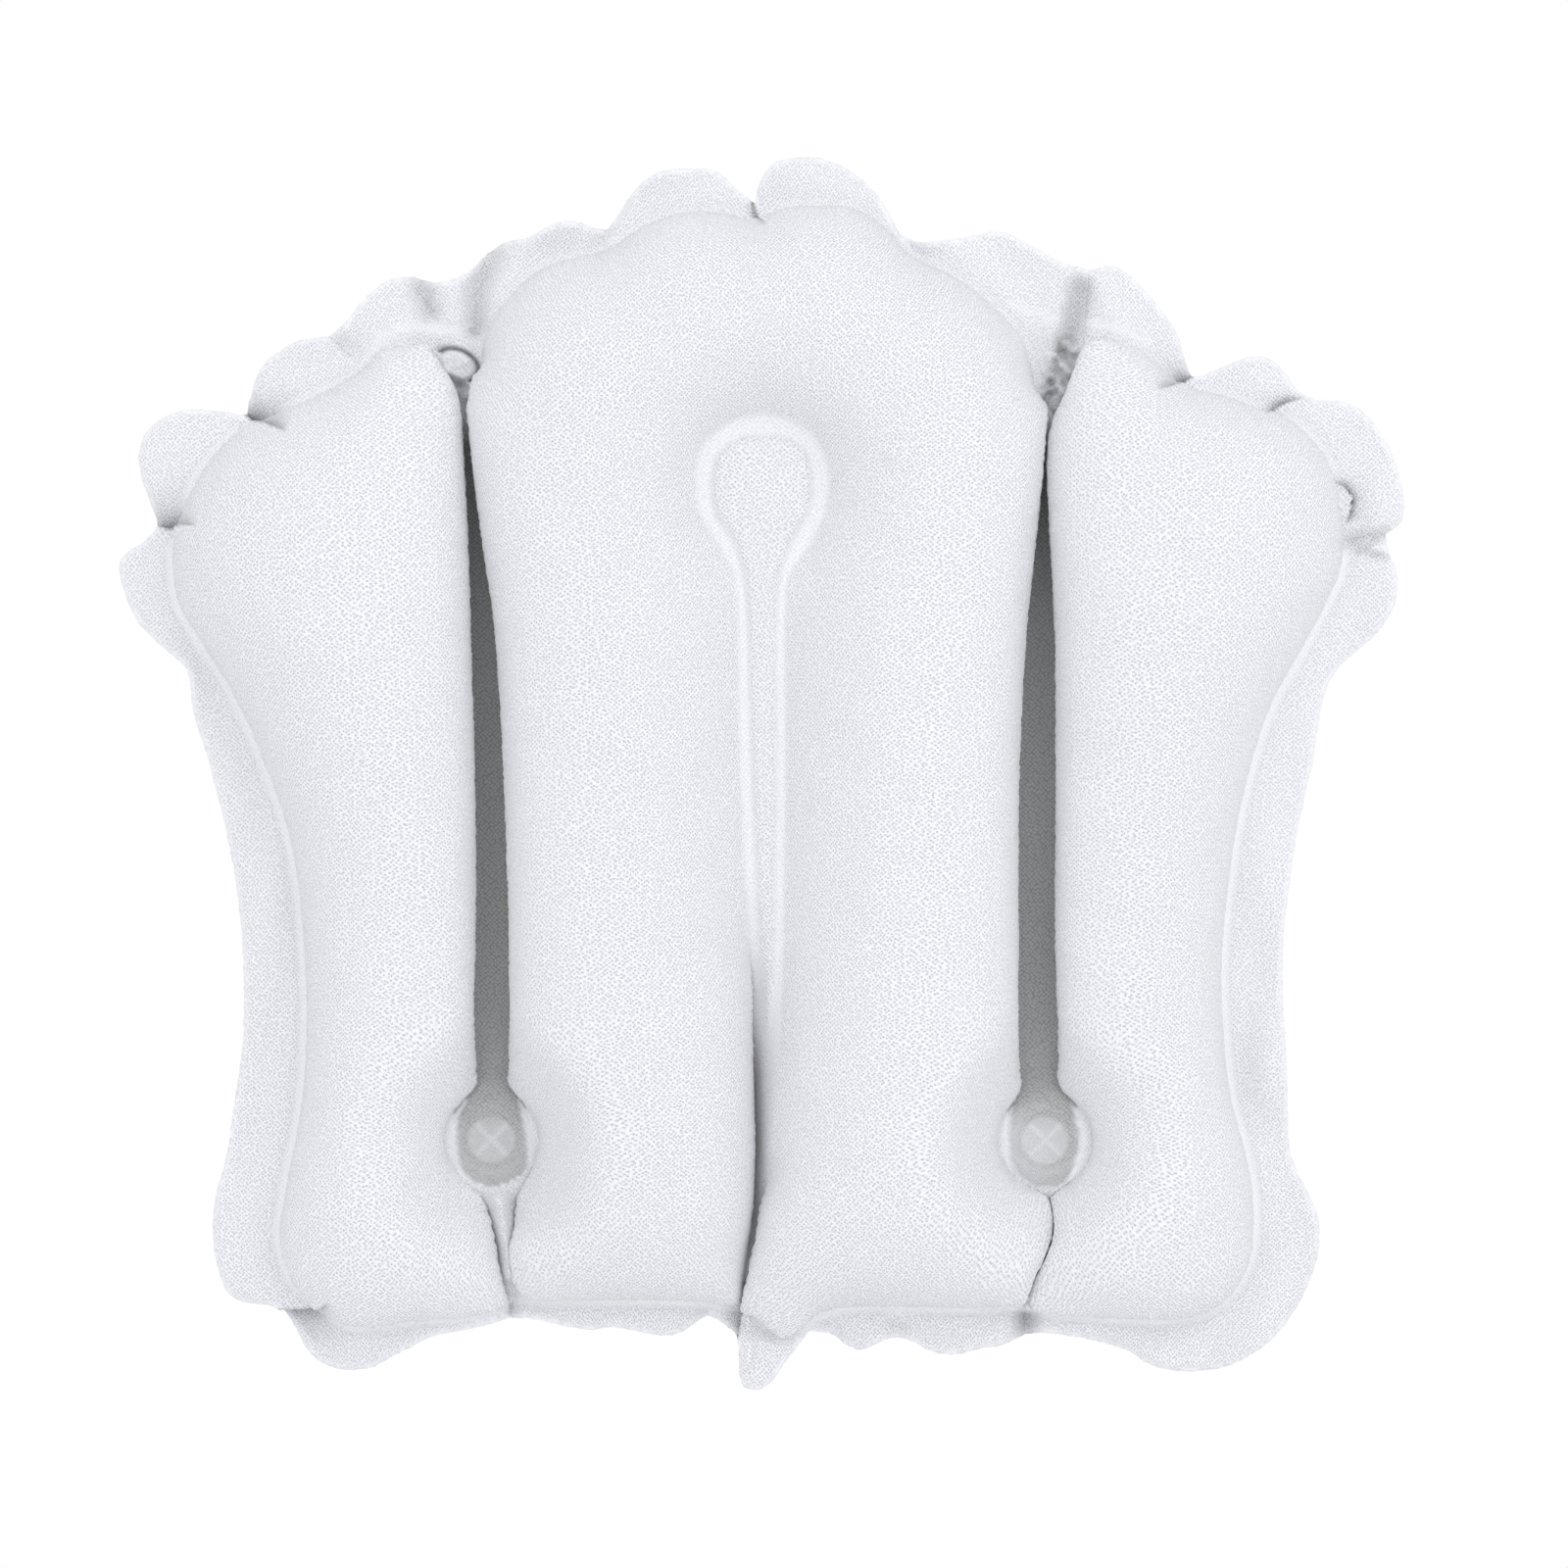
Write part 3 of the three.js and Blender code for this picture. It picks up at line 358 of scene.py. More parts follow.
def meshPlan():
    # flat mesh of the whole pillow: finer on the islands, in the folds and beside every line
    loops = [outline, leftLoop, centreLoop, rightLoop, keyOut, keyIn]
    runs = [splitLeft, splitRight, *foldLines]
    fixed = np.vstack(loops + runs)
    edges, start = [], 0
    for k, line in enumerate(loops + runs):
        n = len(line)
        edges += [(start + i, start + (i + 1) % n) for i in range(n if k < len(loops) else n - 1)]
        start += n
    tree, creases = nearTree(fixed), nearTree(np.vstack(foldLines))
    low, high = outline.min(0), outline.max(0)

    def filled(step, detailFrom, detailTo, gapFrom, gapTo):
        rows = np.arange(low[1], high[1], step * 0.866)
        cols = np.arange(low[0], high[0], step)
        x, z = np.meshgrid(cols, rows)
        x = x + (np.arange(len(rows)) % 2)[:, None] * step / 2
        points = np.stack([x.ravel(), z.ravel()], 1)
        points = points[insideOf(outline[::2], points)]
        byFold = nearest(creases, points)[1] - pattern["foldReach"]
        detail = np.minimum(cupReach(points) - pattern["denseReach"], byFold)
        points = points[(detail > detailFrom) & (detail < detailTo)]
        _, gap = nearest(tree, points)
        return points[(gap > gapFrom) & (gap < gapTo)]

    far, off = math.inf, pattern["keepOff"]
    dense, fine, wide = pattern["denseStep"], pattern["fineStep"], pattern["wideStep"]
    points = np.vstack([
        fixed,
        filled(dense, -far, 0, off * dense, far),
        filled(fine, 0.4, far, off * fine, pattern["fineReach"]),
        filled(wide, 1, far, pattern["fineReach"] + 0.4 * wide, far),
    ])
    flat, _, faces, *_ = delaunay_2d_cdt([Vector(p) for p in points], edges, [], 0, 1e-4)
    flat = np.array([tuple(v) for v in flat])
    faces = np.array([f for f in faces if len(f) == 3])
    faces = faces[insideOf(outline, flat[faces].mean(1))]
    used, faces = np.unique(faces, return_inverse=True)
    return flat[used], faces.reshape(-1, 3)


plan, planFaces = meshPlan()
print("plan meshed:", len(plan), "points,", len(planFaces), "faces")


def doubleArea(faces):
    a, b, c = (plan[faces[:, k]] for k in range(3))
    return (b[:, 0] - a[:, 0]) * (c[:, 1] - a[:, 1]) - (b[:, 1] - a[:, 1]) * (c[:, 0] - a[:, 0])


def cornerTurns(faces):
    # slope over each face for a height of one at each of its corners
    double = doubleArea(faces)[:, None]
    ends = [(plan[faces[:, (k + 1) % 3]], plan[faces[:, (k + 2) % 3]]) for k in range(3)]
    return [np.stack([p[:, 1] - q[:, 1], q[:, 0] - p[:, 0]], 1) / double for p, q in ends]


def stiffness(faces):
    area = np.abs(doubleArea(faces)) / 2 + 1e-9
    starts, ends, weights = [], [], []
    for k in range(3):
        apex, p, q = (plan[faces[:, (k + turn) % 3]] for turn in range(3))
        starts.append(faces[:, (k + 1) % 3])
        ends.append(faces[:, (k + 2) % 3])
        weights.append(np.sum((p - apex) * (q - apex), 1) / (4 * area))
    return np.concatenate(starts), np.concatenate(ends), np.concatenate(weights), area


def gathered(faces, values):
    return sum(np.bincount(faces[:, k], values[k], len(plan)) for k in range(3))


def relax(starts, ends, weights, load, free, finish=1e-10):
    # membrane with cotangent weights, solved by conjugate gradients
    count = len(plan)
    diagonal = np.bincount(starts, weights, count) + np.bincount(ends, weights, count)
    scale = np.where(free & (diagonal > 0), 1 / np.maximum(diagonal, 1e-9), 0)
    load = load * free
    height = np.zeros(count)
    rest = load.copy()
    step = scale * rest
    power = rest @ step
    for turn in range(1500):
        spread = diagonal * step
        spread -= (np.bincount(starts, weights * step[ends], count)
                   + np.bincount(ends, weights * step[starts], count))
        spread *= free
        gain = power / (step @ spread)
        height += gain * step
        rest -= gain * spread
        eased = scale * rest
        renewed = rest @ eased
        if renewed < finish * (load @ (scale * load)):
            break
        step = eased + (renewed / power) * step
        power = renewed
    return height, turn


def chamberSwell(faces, free):
    starts, ends, weights, area = stiffness(faces)
    return relax(starts, ends, weights, gathered(faces, [area / 3] * 3), free)


air = dict(front=40.8,                                  # crown of a full tube, mm
           footSoft=0.3, footReach=7.0, bulbSoft=0.88, bulbSpan=(6, 44), bulbFoot=0.5, bulbFootReach=5.0)
x, z = plan.T
midpoints = plan[planFaces].mean(1)
faceKey = insideOf(keyIn, midpoints)
faceLeft, faceRight = insideOf(leftLoop, midpoints), insideOf(rightLoop, midpoints)
faceCentre = insideOf(centreLoop, midpoints) & ~insideOf(keyOut, midpoints)
faceAir = faceLeft | faceRight | faceCentre | faceKey
touches, airTouches, keyTouches = (np.bincount(faces.ravel(), minlength=len(plan))
                                   for faces in (planFaces, planFaces[faceAir], planFaces[faceKey]))
inAir, inKeyhole = airTouches > 0, keyTouches > 0
swell, turns = chamberSwell(planFaces[faceAir], (airTouches == touches) & inAir)
crown = np.sqrt(2 * np.maximum(swell, 0))
for faces in (planFaces[faceLeft], planFaces[faceRight], planFaces[faceCentre]):
    chamber = np.unique(faces)
    crown[chamber] *= air["front"] / crown[chamber].max()
print("air chambers filled in", turns, "turns, crown", round(float(crown.max()), 1), "mm")

# the keyhole weld stands forward of the edge weld, and sinks back to it towards the foot of the pillow
keyhole = dict(share=0.3, cap=4.0, floor=19.0, reach=20.0, sidePoints=12, riseSpan=(-100, -35),
               slitFloor=0.14, slitSpan=(-176, -150), tongueFloor=0.85, tongueSpan=(-158, -118))


def floorRise(share, span):
    return share * ease(*span, z) + (1 - share) * ease(*keyhole["riseSpan"], z)


_, keyGap = nearest(nearTree(keyOut), plan)
keyGap = np.where(insideOf(keyOut, plan), 0, keyGap)
sides = keyhole["sidePoints"]
leftSide, rightSide = traced(keyholeOuter[:sides]), traced(keyholeOuter[:-sides - 1:-1])
slitX, tongueX = np.interp(z, *leftSide.T[::-1]), np.interp(z, *rightSide.T[::-1])
toTongue = np.clip((x - slitX) / (tongueX - slitX), 0, 1)
slitRise = floorRise(keyhole["slitFloor"], keyhole["slitSpan"])
tongueRise = floorRise(keyhole["tongueFloor"], keyhole["tongueSpan"])
keyRise = mixed(slitRise, np.maximum(slitRise, tongueRise), toTongue)
keyFloor = keyhole["floor"] * bell(keyGap, keyhole["reach"]) * keyRise
tube = inAir & ~inKeyhole
cupGap = cupReach(plan)
lowerBulb = np.where(z < 0, fall(*air["bulbSpan"], cupGap), 0)
crown = crown * (1 - air["bulbSoft"] * lowerBulb)
low = crown * keyhole["share"]
low = low * keyhole["cap"] / np.hypot(low, keyhole["cap"])
tubeCrown = np.where(tube, (crown ** 3 + keyFloor ** 3) ** (1 / 3), keyFloor * (keyGap == 0))
crown = np.where(inKeyhole, low + keyFloor, tubeCrown)


def planSlope(height, faces):
    slope = sum(height[faces[:, k]][:, None] * turned for k, turned in enumerate(cornerTurns(faces)))
    size = np.abs(doubleArea(faces))
    total = np.stack([gathered(faces, [slope[:, axis] * size] * 3) for axis in range(2)], 1)
    return total / np.maximum(gathered(faces, [size] * 3), 1e-9)[:, None]


# nearest chamber foot: how far, and whether a channel or a weld runs there
feet = np.vstack([leftLoop, centreLoop, rightLoop, keyOut])
notKey = np.zeros(len(keyOut), bool)
feetRole = np.concatenate([leftRole, centreRole, rightRole, notKey])
welded = np.concatenate([~leftRole, ~centreRole, ~rightRole, notKey])
footIndex, footGap = nearest(nearTree(feet), plan)
byChannel = feetRole[footIndex]
byKeyhole = footIndex >= len(feet) - len(keyOut)
shares = np.stack([(nearest(nearTree(kind), plan)[1] + 0.4) ** -3
                   for kind in (feet[feetRole], feet[welded], keyOut)])
channelShare, weldShare, keyholeShare = shares / shares.sum(0)
_, edgeGap = nearest(nearTree(outline), plan)

# the tubes are round, so their flanks hang out over the weld they rise from
bulge = dict(channel=7.5, weld=2.2, base=3.4, baseSpan=(-145, -165), keyhole=0.2, clear=0.15,
             slitLeft=2.2, slitLeftRun=(-150, -66, 10), slitRight=4.0, slitRightSpan=(-128, -144),
             pinchLeft=2.0, pinchRight=6.0, pinchSpan=(-142, -126), closeSpan=(-145, -156),
             lowerCups=(13, 24), upperCups=(3, 10))
slope = planSlope(crown, planFaces[faceAir & ~faceKey])
steep = np.linalg.norm(slope, axis=1)
leftFlank = slope[:, 0] > 0
closing = np.where(leftFlank, ease(*bulge["closeSpan"], z), 0)
pinched = mixed(bulge["pinchLeft"], bulge["pinchRight"], np.where(x < 0, closing, 1))
alongChannel = mixed(pinched, bulge["channel"], ease(*bulge["pinchSpan"], z))
alongChannel *= np.where(z < 0, ease(*bulge["lowerCups"], cupGap), ease(*bulge["upperCups"], cupGap))
alongWeld = mixed(bulge["weld"], bulge["base"], ease(*bulge["baseSpan"], z))
slitLeft = bulge["slitLeft"] * band(z, *bulge["slitLeftRun"])
slitRight = bulge["slitRight"] * ease(*bulge["slitRightSpan"], z)
alongKeyhole = bulge["keyhole"] + np.where(leftFlank, slitRight, slitLeft)
hang = channelShare * alongChannel + weldShare * alongWeld + keyholeShare * alongKeyhole
crown = crown * (1 - air["footSoft"] * weldShare * np.exp(-footGap / air["footReach"]))
crown = crown * (1 - air["bulbFoot"] * lowerBulb * np.exp(-footGap / air["bulbFootReach"]))
hang = np.where(tube & (footGap > 0.02), hang * np.sin(2 * np.arctan(steep)), 0)
outward = -slope / (steep[:, None] + 1e-9) * hang[:, None]


def splitAt(line, level):
    return np.interp(level, line[::-1, 1], line[::-1, 0])


# neighbouring tubes may touch along the line between their panels, but not cross it
reached = x + outward[:, 0]
leftStop, rightStop = splitAt(splitLeft, z + outward[:, 1]), splitAt(splitRight, z + outward[:, 1])
leftTube, rightTube = tube & insideOf(leftLoop, plan), tube & insideOf(rightLoop, plan)
stopped = np.clip(reached, leftStop + bulge["clear"], rightStop - bulge["clear"])
stopped = np.where(leftTube, np.minimum(reached, leftStop - bulge["clear"]), stopped)
stopped = np.where(rightTube, np.maximum(reached, rightStop + bulge["clear"]), stopped)
outward[:, 0] = np.where(hang > 0, stopped - x, outward[:, 0])


def over(mask, value, where=True):
    return np.maximum(mask, np.where(where, value, 0))


# masks for the finish: weld pressed smooth, the channel strips a knit in painted shade, rim the cut edge,
# painted shade in folds
outside = ~inAir | (footGap < 0.05)
flat, onChannel = outside & ~byChannel & ~byKeyhole, outside & byChannel
island = dict(
    top=-90, reach=14.5, rise=6.5, riseSpan=(9, 24),
    rimLeft=2.4, rimRight=1.9, rimFrom=(7, 8.5), rimTop=(-102, -96),
    shadeLeft=0.78, shadeRight=0.66, shadeTurn=0.02, neckShade=0.28, neckSpan=(-119, -111), leftDark=0.08,
    disc=7.4, discPale=0.2, discEdgeShade=0.2, edgeWidth=0.9, imprint=0.5, armWidth=0.9, armPale=0.4,
)
inBulb = onChannel & (z < island["top"]) & (cupGap < island["reach"])
islandRim = np.where(x < 0, island["rimLeft"], island["rimRight"])
bulbRim = fall(islandRim - 0.8, islandRim + 0.4, footGap) * ease(*island["rimFrom"], cupGap)
bulbRim = np.where(inBulb, bulbRim * fall(*island["rimTop"], z), 0)
disc = np.where(z < 0, fall(island["disc"] - 0.8, island["disc"] + 0.6, cupGap), 0)

seamPale = 1 - weld["paleTop"] * ease(*weld["paleSpan"], z)
weldMask = np.where(flat, band(footGap, -2, weld["width"], weld["soft"]) * seamPale, 0)
weldMask = over(weldMask, weld["flange"] + weld["flangeTop"] * ease(*weld["flangeSpan"], z), flat)
_, innerGap = nearest(nearTree(keyIn), plan)
keyBand = fall(*weld["keyholeLine"], np.where(inKeyhole, innerGap, keyGap))
weldMask = over(weldMask, weld["keyhole"] * keyBand * ease(*weld["keyholeSpan"], z))
weldMask = over(weldMask, bulbRim)
# painted light round the lower islands, lifting the shade of the dish
weldMask = over(weldMask, weld["dishLight"] * fall(*weld["dishLightSpan"], cupGap), tube & (z < 0))

# painted shade on the channel strips: where it runs, and more of it towards their tops
shadedStrip = dict(foot=(-121, -107), head=(94, 106), shade=0.1, shadeSpan=(-70, 60))
channelRun = ease(*shadedStrip["foot"], z) * fall(*shadedStrip["head"], z)
shadedStripMask = np.where(onChannel, channelRun * (1 - bulbRim), 0)
# painted shade inside the lower islands: more at the neck, in a ring round the pressed disc and to the right
# on the right island, less on the disc
rightShade = island["shadeRight"] + island["shadeTurn"] * (x - cupMids[3][0])
bulbShade = np.where(x < 0, island["shadeLeft"], rightShade)
bulbShade = bulbShade + island["neckShade"] * ease(*island["neckSpan"], z)
discEdgeShade = bell(cupGap - island["disc"] - island["edgeWidth"], island["edgeWidth"])
bulbShade = bulbShade * (1 - island["discPale"] * disc) + island["discEdgeShade"] * discEdgeShade
shadedStripMask = over(shadedStripMask, bulbShade * (1 - bulbRim), inBulb)


def nearLine(points):
    # distance to a line, side of it, share of its length passed, and the direction across it
    line = traced(points)
    lengths = np.linalg.norm(np.diff(line, axis=0), axis=1)
    gap, side, share = np.full(len(plan), 1e9), np.zeros(len(plan)), np.zeros(len(plan))
    across = np.zeros((len(plan), 2))
    done = 0.0
    for a, b, length in zip(line[:-1], line[1:], lengths):
        along = (b - a) / length
        t = np.clip((plan - a) @ along, 0, length)
        away = plan - (a + t[:, None] * along)
        d = np.linalg.norm(away, axis=1)
        closer = d < gap
        gap = np.where(closer, d, gap)
        side = np.where(closer, np.sign(along[0] * away[:, 1] - along[1] * away[:, 0]), side)
        share = np.where(closer, (done + t) / lengths.sum(), share)
        across = np.where(closer[:, None], np.array([-along[1], along[0]]), across)
        done += length
    return gap, side, share, across


def lineGap(points):
    return nearLine(points)[0]


def lineRun(crease, share):
    return fall(crease["fade"], 1.0, share) * ease(-0.01, crease["lead"], share)


def foldShift():
    # shift towards the viewer, lap of each near side, shade in the folds, and where they hide the weld
    shift, lap = np.zeros(len(plan)), np.zeros((len(plan), 2))
    shade, hidden = np.zeros(len(plan)), np.zeros(len(plan))
    for fold in folds:
        gap, side, share, across = nearLine(fold["line"])
        run = lineRun(fold, share)
        behind = (side * fold["near"] < 0) & (gap > 0.2)
        drop = -fold["depth"] * np.exp(-gap / fold["reach"])
        shift += run * np.where(behind, drop, foldLook["nearRise"] * np.exp(-gap / foldLook["nearReach"]))
        reach = np.where(behind, 0, fold["lip"] * bell(gap, foldLook["lipReach"])) * run
        lap -= across * (fold["near"] * reach)[:, None]
        dark = np.where(behind, np.exp(-gap / fold["shadeReach"]), bell(gap, foldLook["crease"]))
        shade = np.maximum(shade, fold["shade"] * dark * run ** 0.5)
        hidden = np.maximum(hidden, bell(gap, foldLook["hides"]))
    for valley in valleys:
        gap, _, share, _ = nearLine(valley["line"])
        hollow = lineRun(valley, share) * np.exp(-(gap / valley["width"]) ** (valley["flat"] + 1))
        shift -= valley["depth"] * hollow
        shade = np.maximum(shade, valley["shade"] * hollow)
    return shift, lap, shade, hidden


def ripple(seed, wave, count=9):
    # smooth noise of about one unit, a sum of a few waves
    rng = np.random.default_rng(seed)
    total = np.zeros(len(plan))
    for _ in range(count):
        angle, phase = rng.uniform(0, math.tau, 2)
        length = wave * rng.uniform(0.7, 1.5)
        total += np.sin((x * math.cos(angle) + z * math.sin(angle)) * math.tau / length + phase)
    return total / math.sqrt(count / 2)


slit = dict(line=[(771, 1020), (773, 1130), (775, 1180), (771, 1235), (765, 1280)],
            run=(-158, -92, 14), width=1.7, shade=0.5)
crumples = [dict(line=[(1088, 354), (1081, 382), (1074, 408)], span=(2.4, 6.0), amount=1.0),
            dict(line=[(456, 384), (466, 391), (472, 402)], span=(1.0, 3.5), amount=0.6)]
crumpleLook = dict(shade=0.5, uneven=0.3, coarse=1.5, coarseWave=8, fine=0.9, fineWave=4)
shift, lap, shadeMask, hidden = foldShift()
for line in bridges:
    weldMask = over(weldMask, weld["bridge"] * fall(*weld["bridgeLine"], lineGap(line)), outside)
slitShade = slit["shade"] * band(z, *slit["run"]) * bell(lineGap(slit["line"]), slit["width"])
shadeMask = over(shadeMask, slitShade)
weldMask = weldMask * (1 - 0.9 * hidden) * (1 - np.clip(4 * shadeMask, 0, 0.9))
crumple = np.zeros(len(plan))
for crushed in crumples:
    crumple = over(crumple, crushed["amount"] * fall(*crushed["span"], lineGap(crushed["line"])), outside)
# painted shade on the crumpled cloth, uneven across it
uneven = crumpleLook["shade"] + crumpleLook["uneven"] * ripple(23, crumpleLook["fineWave"])
shadedStripMask = over(shadedStripMask, crumple * uneven)

flange = dict(wave=1.8, waveLength=34.0, waveFrom=9.0, tubeSoft=0.25, tubeWave=26.0, tubeSpan=(0, 12),
              rimDrop=1.2, rimReach=2.2, rimLine=(0.8, 1.6),
              fuzz=0.05, flankFuzz=0.16, flankSpan=(6, 14), edgeFuzz=0.2, edgeReach=0.6)
tab = dict(rise=4.0, down=(-178, -186), across=(-10, 18, 4))
rimMask = fall(*flange["rimLine"], edgeGap)
onFlange = np.where(flat, ease(weld["width"], weld["width"] + flange["waveFrom"], footGap), 0)
shift += onFlange * flange["wave"] * ripple(4, flange["waveLength"])
shift += tab["rise"] * ease(*tab["down"], z) * band(x, *tab["across"])
fuzz = np.random.default_rng(3).uniform(-1, 1, (len(plan), 3))
frayed = channelShare * np.where(tube, fall(*flange["flankSpan"], footGap), 0)
tubeFuzz = flange["fuzz"] + flange["flankFuzz"] * frayed
fuzz *= np.where(edgeGap < flange["edgeReach"], flange["edgeFuzz"], tubeFuzz)[:, None]

relief = weld["pile"] * (1 - np.where(outside, shadedStripMask, 0)) - (weld["pile"] + weld["press"]) * weldMask
relief -= flange["rimDrop"] * fall(0, flange["rimReach"], edgeGap) ** 1.5
softTube = flange["tubeSoft"] * ripple(11, flange["tubeWave"]) * ease(*flange["tubeSpan"], footGap)
relief += np.where(inAir, softTube, 0)
coarse = crumpleLook["coarse"] * ripple(21, crumpleLook["coarseWave"])
relief += crumple * (coarse + crumpleLook["fine"] * ripple(22, crumpleLook["fineWave"]))
relief += island["rise"] * np.where(z < 0, fall(*island["riseSpan"], cupGap), 0)


def crossArms(dx, dz, width):
    return bell(np.minimum(np.abs(dx + dz), np.abs(dx - dz)) / math.sqrt(2), width)


# the cross pressed into each lower island
for mid in cupMids[2:]:
    dx, dz = x - mid[0], z - mid[1]
    onDisc = fall(island["disc"] - 1, island["disc"], np.hypot(dx, dz))
    cross = onDisc * crossArms(dx, dz, island["armWidth"])
    relief += island["imprint"] * cross
    shadedStripMask = shadedStripMask * (1 - island["armPale"] * cross)

# the oval island that shows at the upper left
upperIsland = dict(turn=(0.89, 0.46), wide=5.9, tall=4.0, rise=1.8, imprint=0.5, armWidth=0.6, pressed=0.5,
                   groove=2.4, grooveAt=1.2, grooveWidth=0.16, grooveShade=0.75, reach=1.7)
cosine, sine = upperIsland["turn"]
dx, dz = x - cupMids[0][0], z - cupMids[0][1]
dx, dz = dx * cosine - dz * sine, dx * sine + dz * cosine
oval = np.hypot(dx / upperIsland["wide"], dz / upperIsland["tall"])
upperDisc = np.where(outside, fall(0.9, 1.1, oval), 0)
groove = bell(oval - upperIsland["grooveAt"], upperIsland["grooveWidth"])
groove = np.where(outside & (dz + 0.3 * dx > -1), groove, 0)
raised = upperIsland["rise"] * upperDisc - upperIsland["groove"] * groove
relief += np.where(outside & (oval < upperIsland["reach"]), raised, 0)
relief += upperIsland["imprint"] * upperDisc * crossArms(dx, dz, upperIsland["armWidth"])
weldMask = over(over(weldMask, 0.2 * disc), upperIsland["pressed"] * upperDisc)

# shade: round the oval, up the strips, beside the ridge of the lower left seam, and on the left island
seam = dict(run=(-172, -138, 3), ridge=2.0, shade=0.12)
besideRidge = band(z, *seam["run"]) * (1 - bell(lineGap(seamRidge), seam["ridge"]))
shadeMask = over(shadeMask, upperIsland["grooveShade"] * groove)
shadeMask = over(shadeMask, shadedStrip["shade"] * channelRun * ease(*shadedStrip["shadeSpan"], z), onChannel)
shadeMask = over(shadeMask, seam["shade"] * besideRidge, onChannel)
shadeMask = over(shadeMask, island["leftDark"], inBulb & (x < 0))

vinyl = dict(share=0.45, rest=12.0, floorReach=11.0, floorLift=30.0,
             pinch=0.5, pinchWave=12, pinchFrom=(0, 4), pinchTo=(6, 22))
frontY = pattern["weldY"] - crown - relief - shift
front = np.stack([x + outward[:, 0] + lap[:, 0], frontY, z + outward[:, 1] + lap[:, 1]], 1)
front += fuzz * np.where(weldMask + shadedStripMask > 0.3, 0.2, 1)[:, None]
backCrown = vinyl["share"] * np.where(tube, crown, 0)
backCrown = backCrown / (1 + (backCrown / vinyl["rest"]) ** 5) ** 0.2
backFloor = keyFloor * bell(keyGap, vinyl["floorReach"])
nearFoot = np.where(tube, ease(*vinyl["pinchFrom"], footGap) * fall(*vinyl["pinchTo"], footGap), 0)
pinch = vinyl["pinch"] * ripple(31, vinyl["pinchWave"]) * nearFoot
backY = pattern["backY"] + backCrown * (1 - backFloor / vinyl["floorLift"]) - backFloor - shift + pinch
back = np.stack([x + lap[:, 0], backY, z + lap[:, 1]], 1)


def clothLengths():
    # lengths along the cloth, across and up, so that the loops keep their size on the flanks
    starts, ends, weights, area = stiffness(planFaces)
    turned = cornerTurns(planFaces)
    rise = sum(-front[planFaces[:, k], 1][:, None] * turned[k] for k in range(3))
    rise = np.clip(rise, -3, 3)
    wide = np.sqrt(1 + rise[:, 0] ** 2)
    tall = np.sqrt(1 + rise[:, 0] ** 2 + rise[:, 1] ** 2) / wide
    lengths = []
    for want in (np.stack([wide, rise[:, 0] * rise[:, 1] / wide], 1), np.stack([0 * tall, tall], 1)):
        load = gathered(planFaces, [area * np.sum(want * turned[k], 1) for k in range(3)])
        lengths.append(relax(starts, ends, weights, load, np.ones(len(plan), bool), 1e-7)[0])
    return np.stack([*lengths, 0 * x], 1)


cloth = clothLengths()
print("cloth lengths:", np.ptp(cloth, axis=0).round(1), "mm")


def addPiece(name, data):
    piece = bpy.data.objects.new(name, data)
    scene.collection.objects.link(piece)
    return piece


def addMesh(name, points, faces, crease=0):
    # edges sharper than the crease stay sharp; flat faces without one
    mesh = bpy.data.meshes.new(name)
    mesh.from_pydata(points, [], faces)
    if crease:
        mesh.polygons.foreach_set("use_smooth", np.ones(len(faces), bool))
        mesh.set_sharp_from_angle(angle=math.radians(crease))
    mesh.validate()
    return addPiece(name, mesh)


def splitSide(line, far):
    return insideOf(np.vstack([line, [(far, -320), (far, 320)]]), midpoints)


faceInLeft, faceInRight = splitSide(splitLeft, -320), splitSide(splitRight, 320)


def panel(name, chosen):
    # closed piece: terry in front, vinyl behind, a rim round every free edge
    faces = planFaces[chosen]
    used, local = np.unique(faces, return_inverse=True)
    local = local.reshape(-1, 3)
    local = np.where((doubleArea(faces) > 0)[:, None], local, local[:, ::-1])
    count = len(used)
    loops = np.concatenate([local[:, [0, 1]], local[:, [1, 2]], local[:, [2, 0]]])
    key = loops[:, 0].astype(np.int64) * count + loops[:, 1]
    free = loops[~np.isin(key, loops[:, 1].astype(np.int64) * count + loops[:, 0])]
    corners = np.vstack([front[used], back[used]]) / 1000
    mesh = bpy.data.meshes.new(name)
    rim = [(b, a, a + count, b + count) for a, b in free]
    mesh.from_pydata(corners.tolist(), [], local.tolist() + (local[:, ::-1] + count).tolist() + rim)
    slots = np.repeat([0, 1], [len(local), len(local) + len(rim)]).astype(np.int32)
    mesh.polygons.foreach_set("material_index", slots)
    mesh.polygons.foreach_set("use_smooth", np.ones(len(slots), bool))
    # the channel strip mask and the shade mask carry painted shade
    for mask, values in dict(weld=weldMask, shadedStrip=shadedStripMask, rim=rimMask, shade=shadeMask).items():
        layer = mesh.attributes.new(mask, "FLOAT", "POINT")
        layer.data.foreach_set("value", np.concatenate([values[used]] * 2).astype(np.float32))
    layer = mesh.attributes.new("cloth", "FLOAT_VECTOR", "POINT")
    layer.data.foreach_set("vector", np.concatenate([cloth[used]] * 2).astype(np.float32).ravel())
    mesh.set_sharp_from_angle(angle=math.radians(75))
    mesh.update()
    mesh.validate()
    return addPiece(name, mesh)


leftPanel = panel("panelLeftWing", faceInLeft)
rightPanel = panel("panelRightWing", faceInRight)
centrePanel = panel("panelCentre", ~faceInLeft & ~faceInRight)
print("panels made:", *(len(piece.data.vertices) for piece in (leftPanel, centrePanel, rightPanel)))


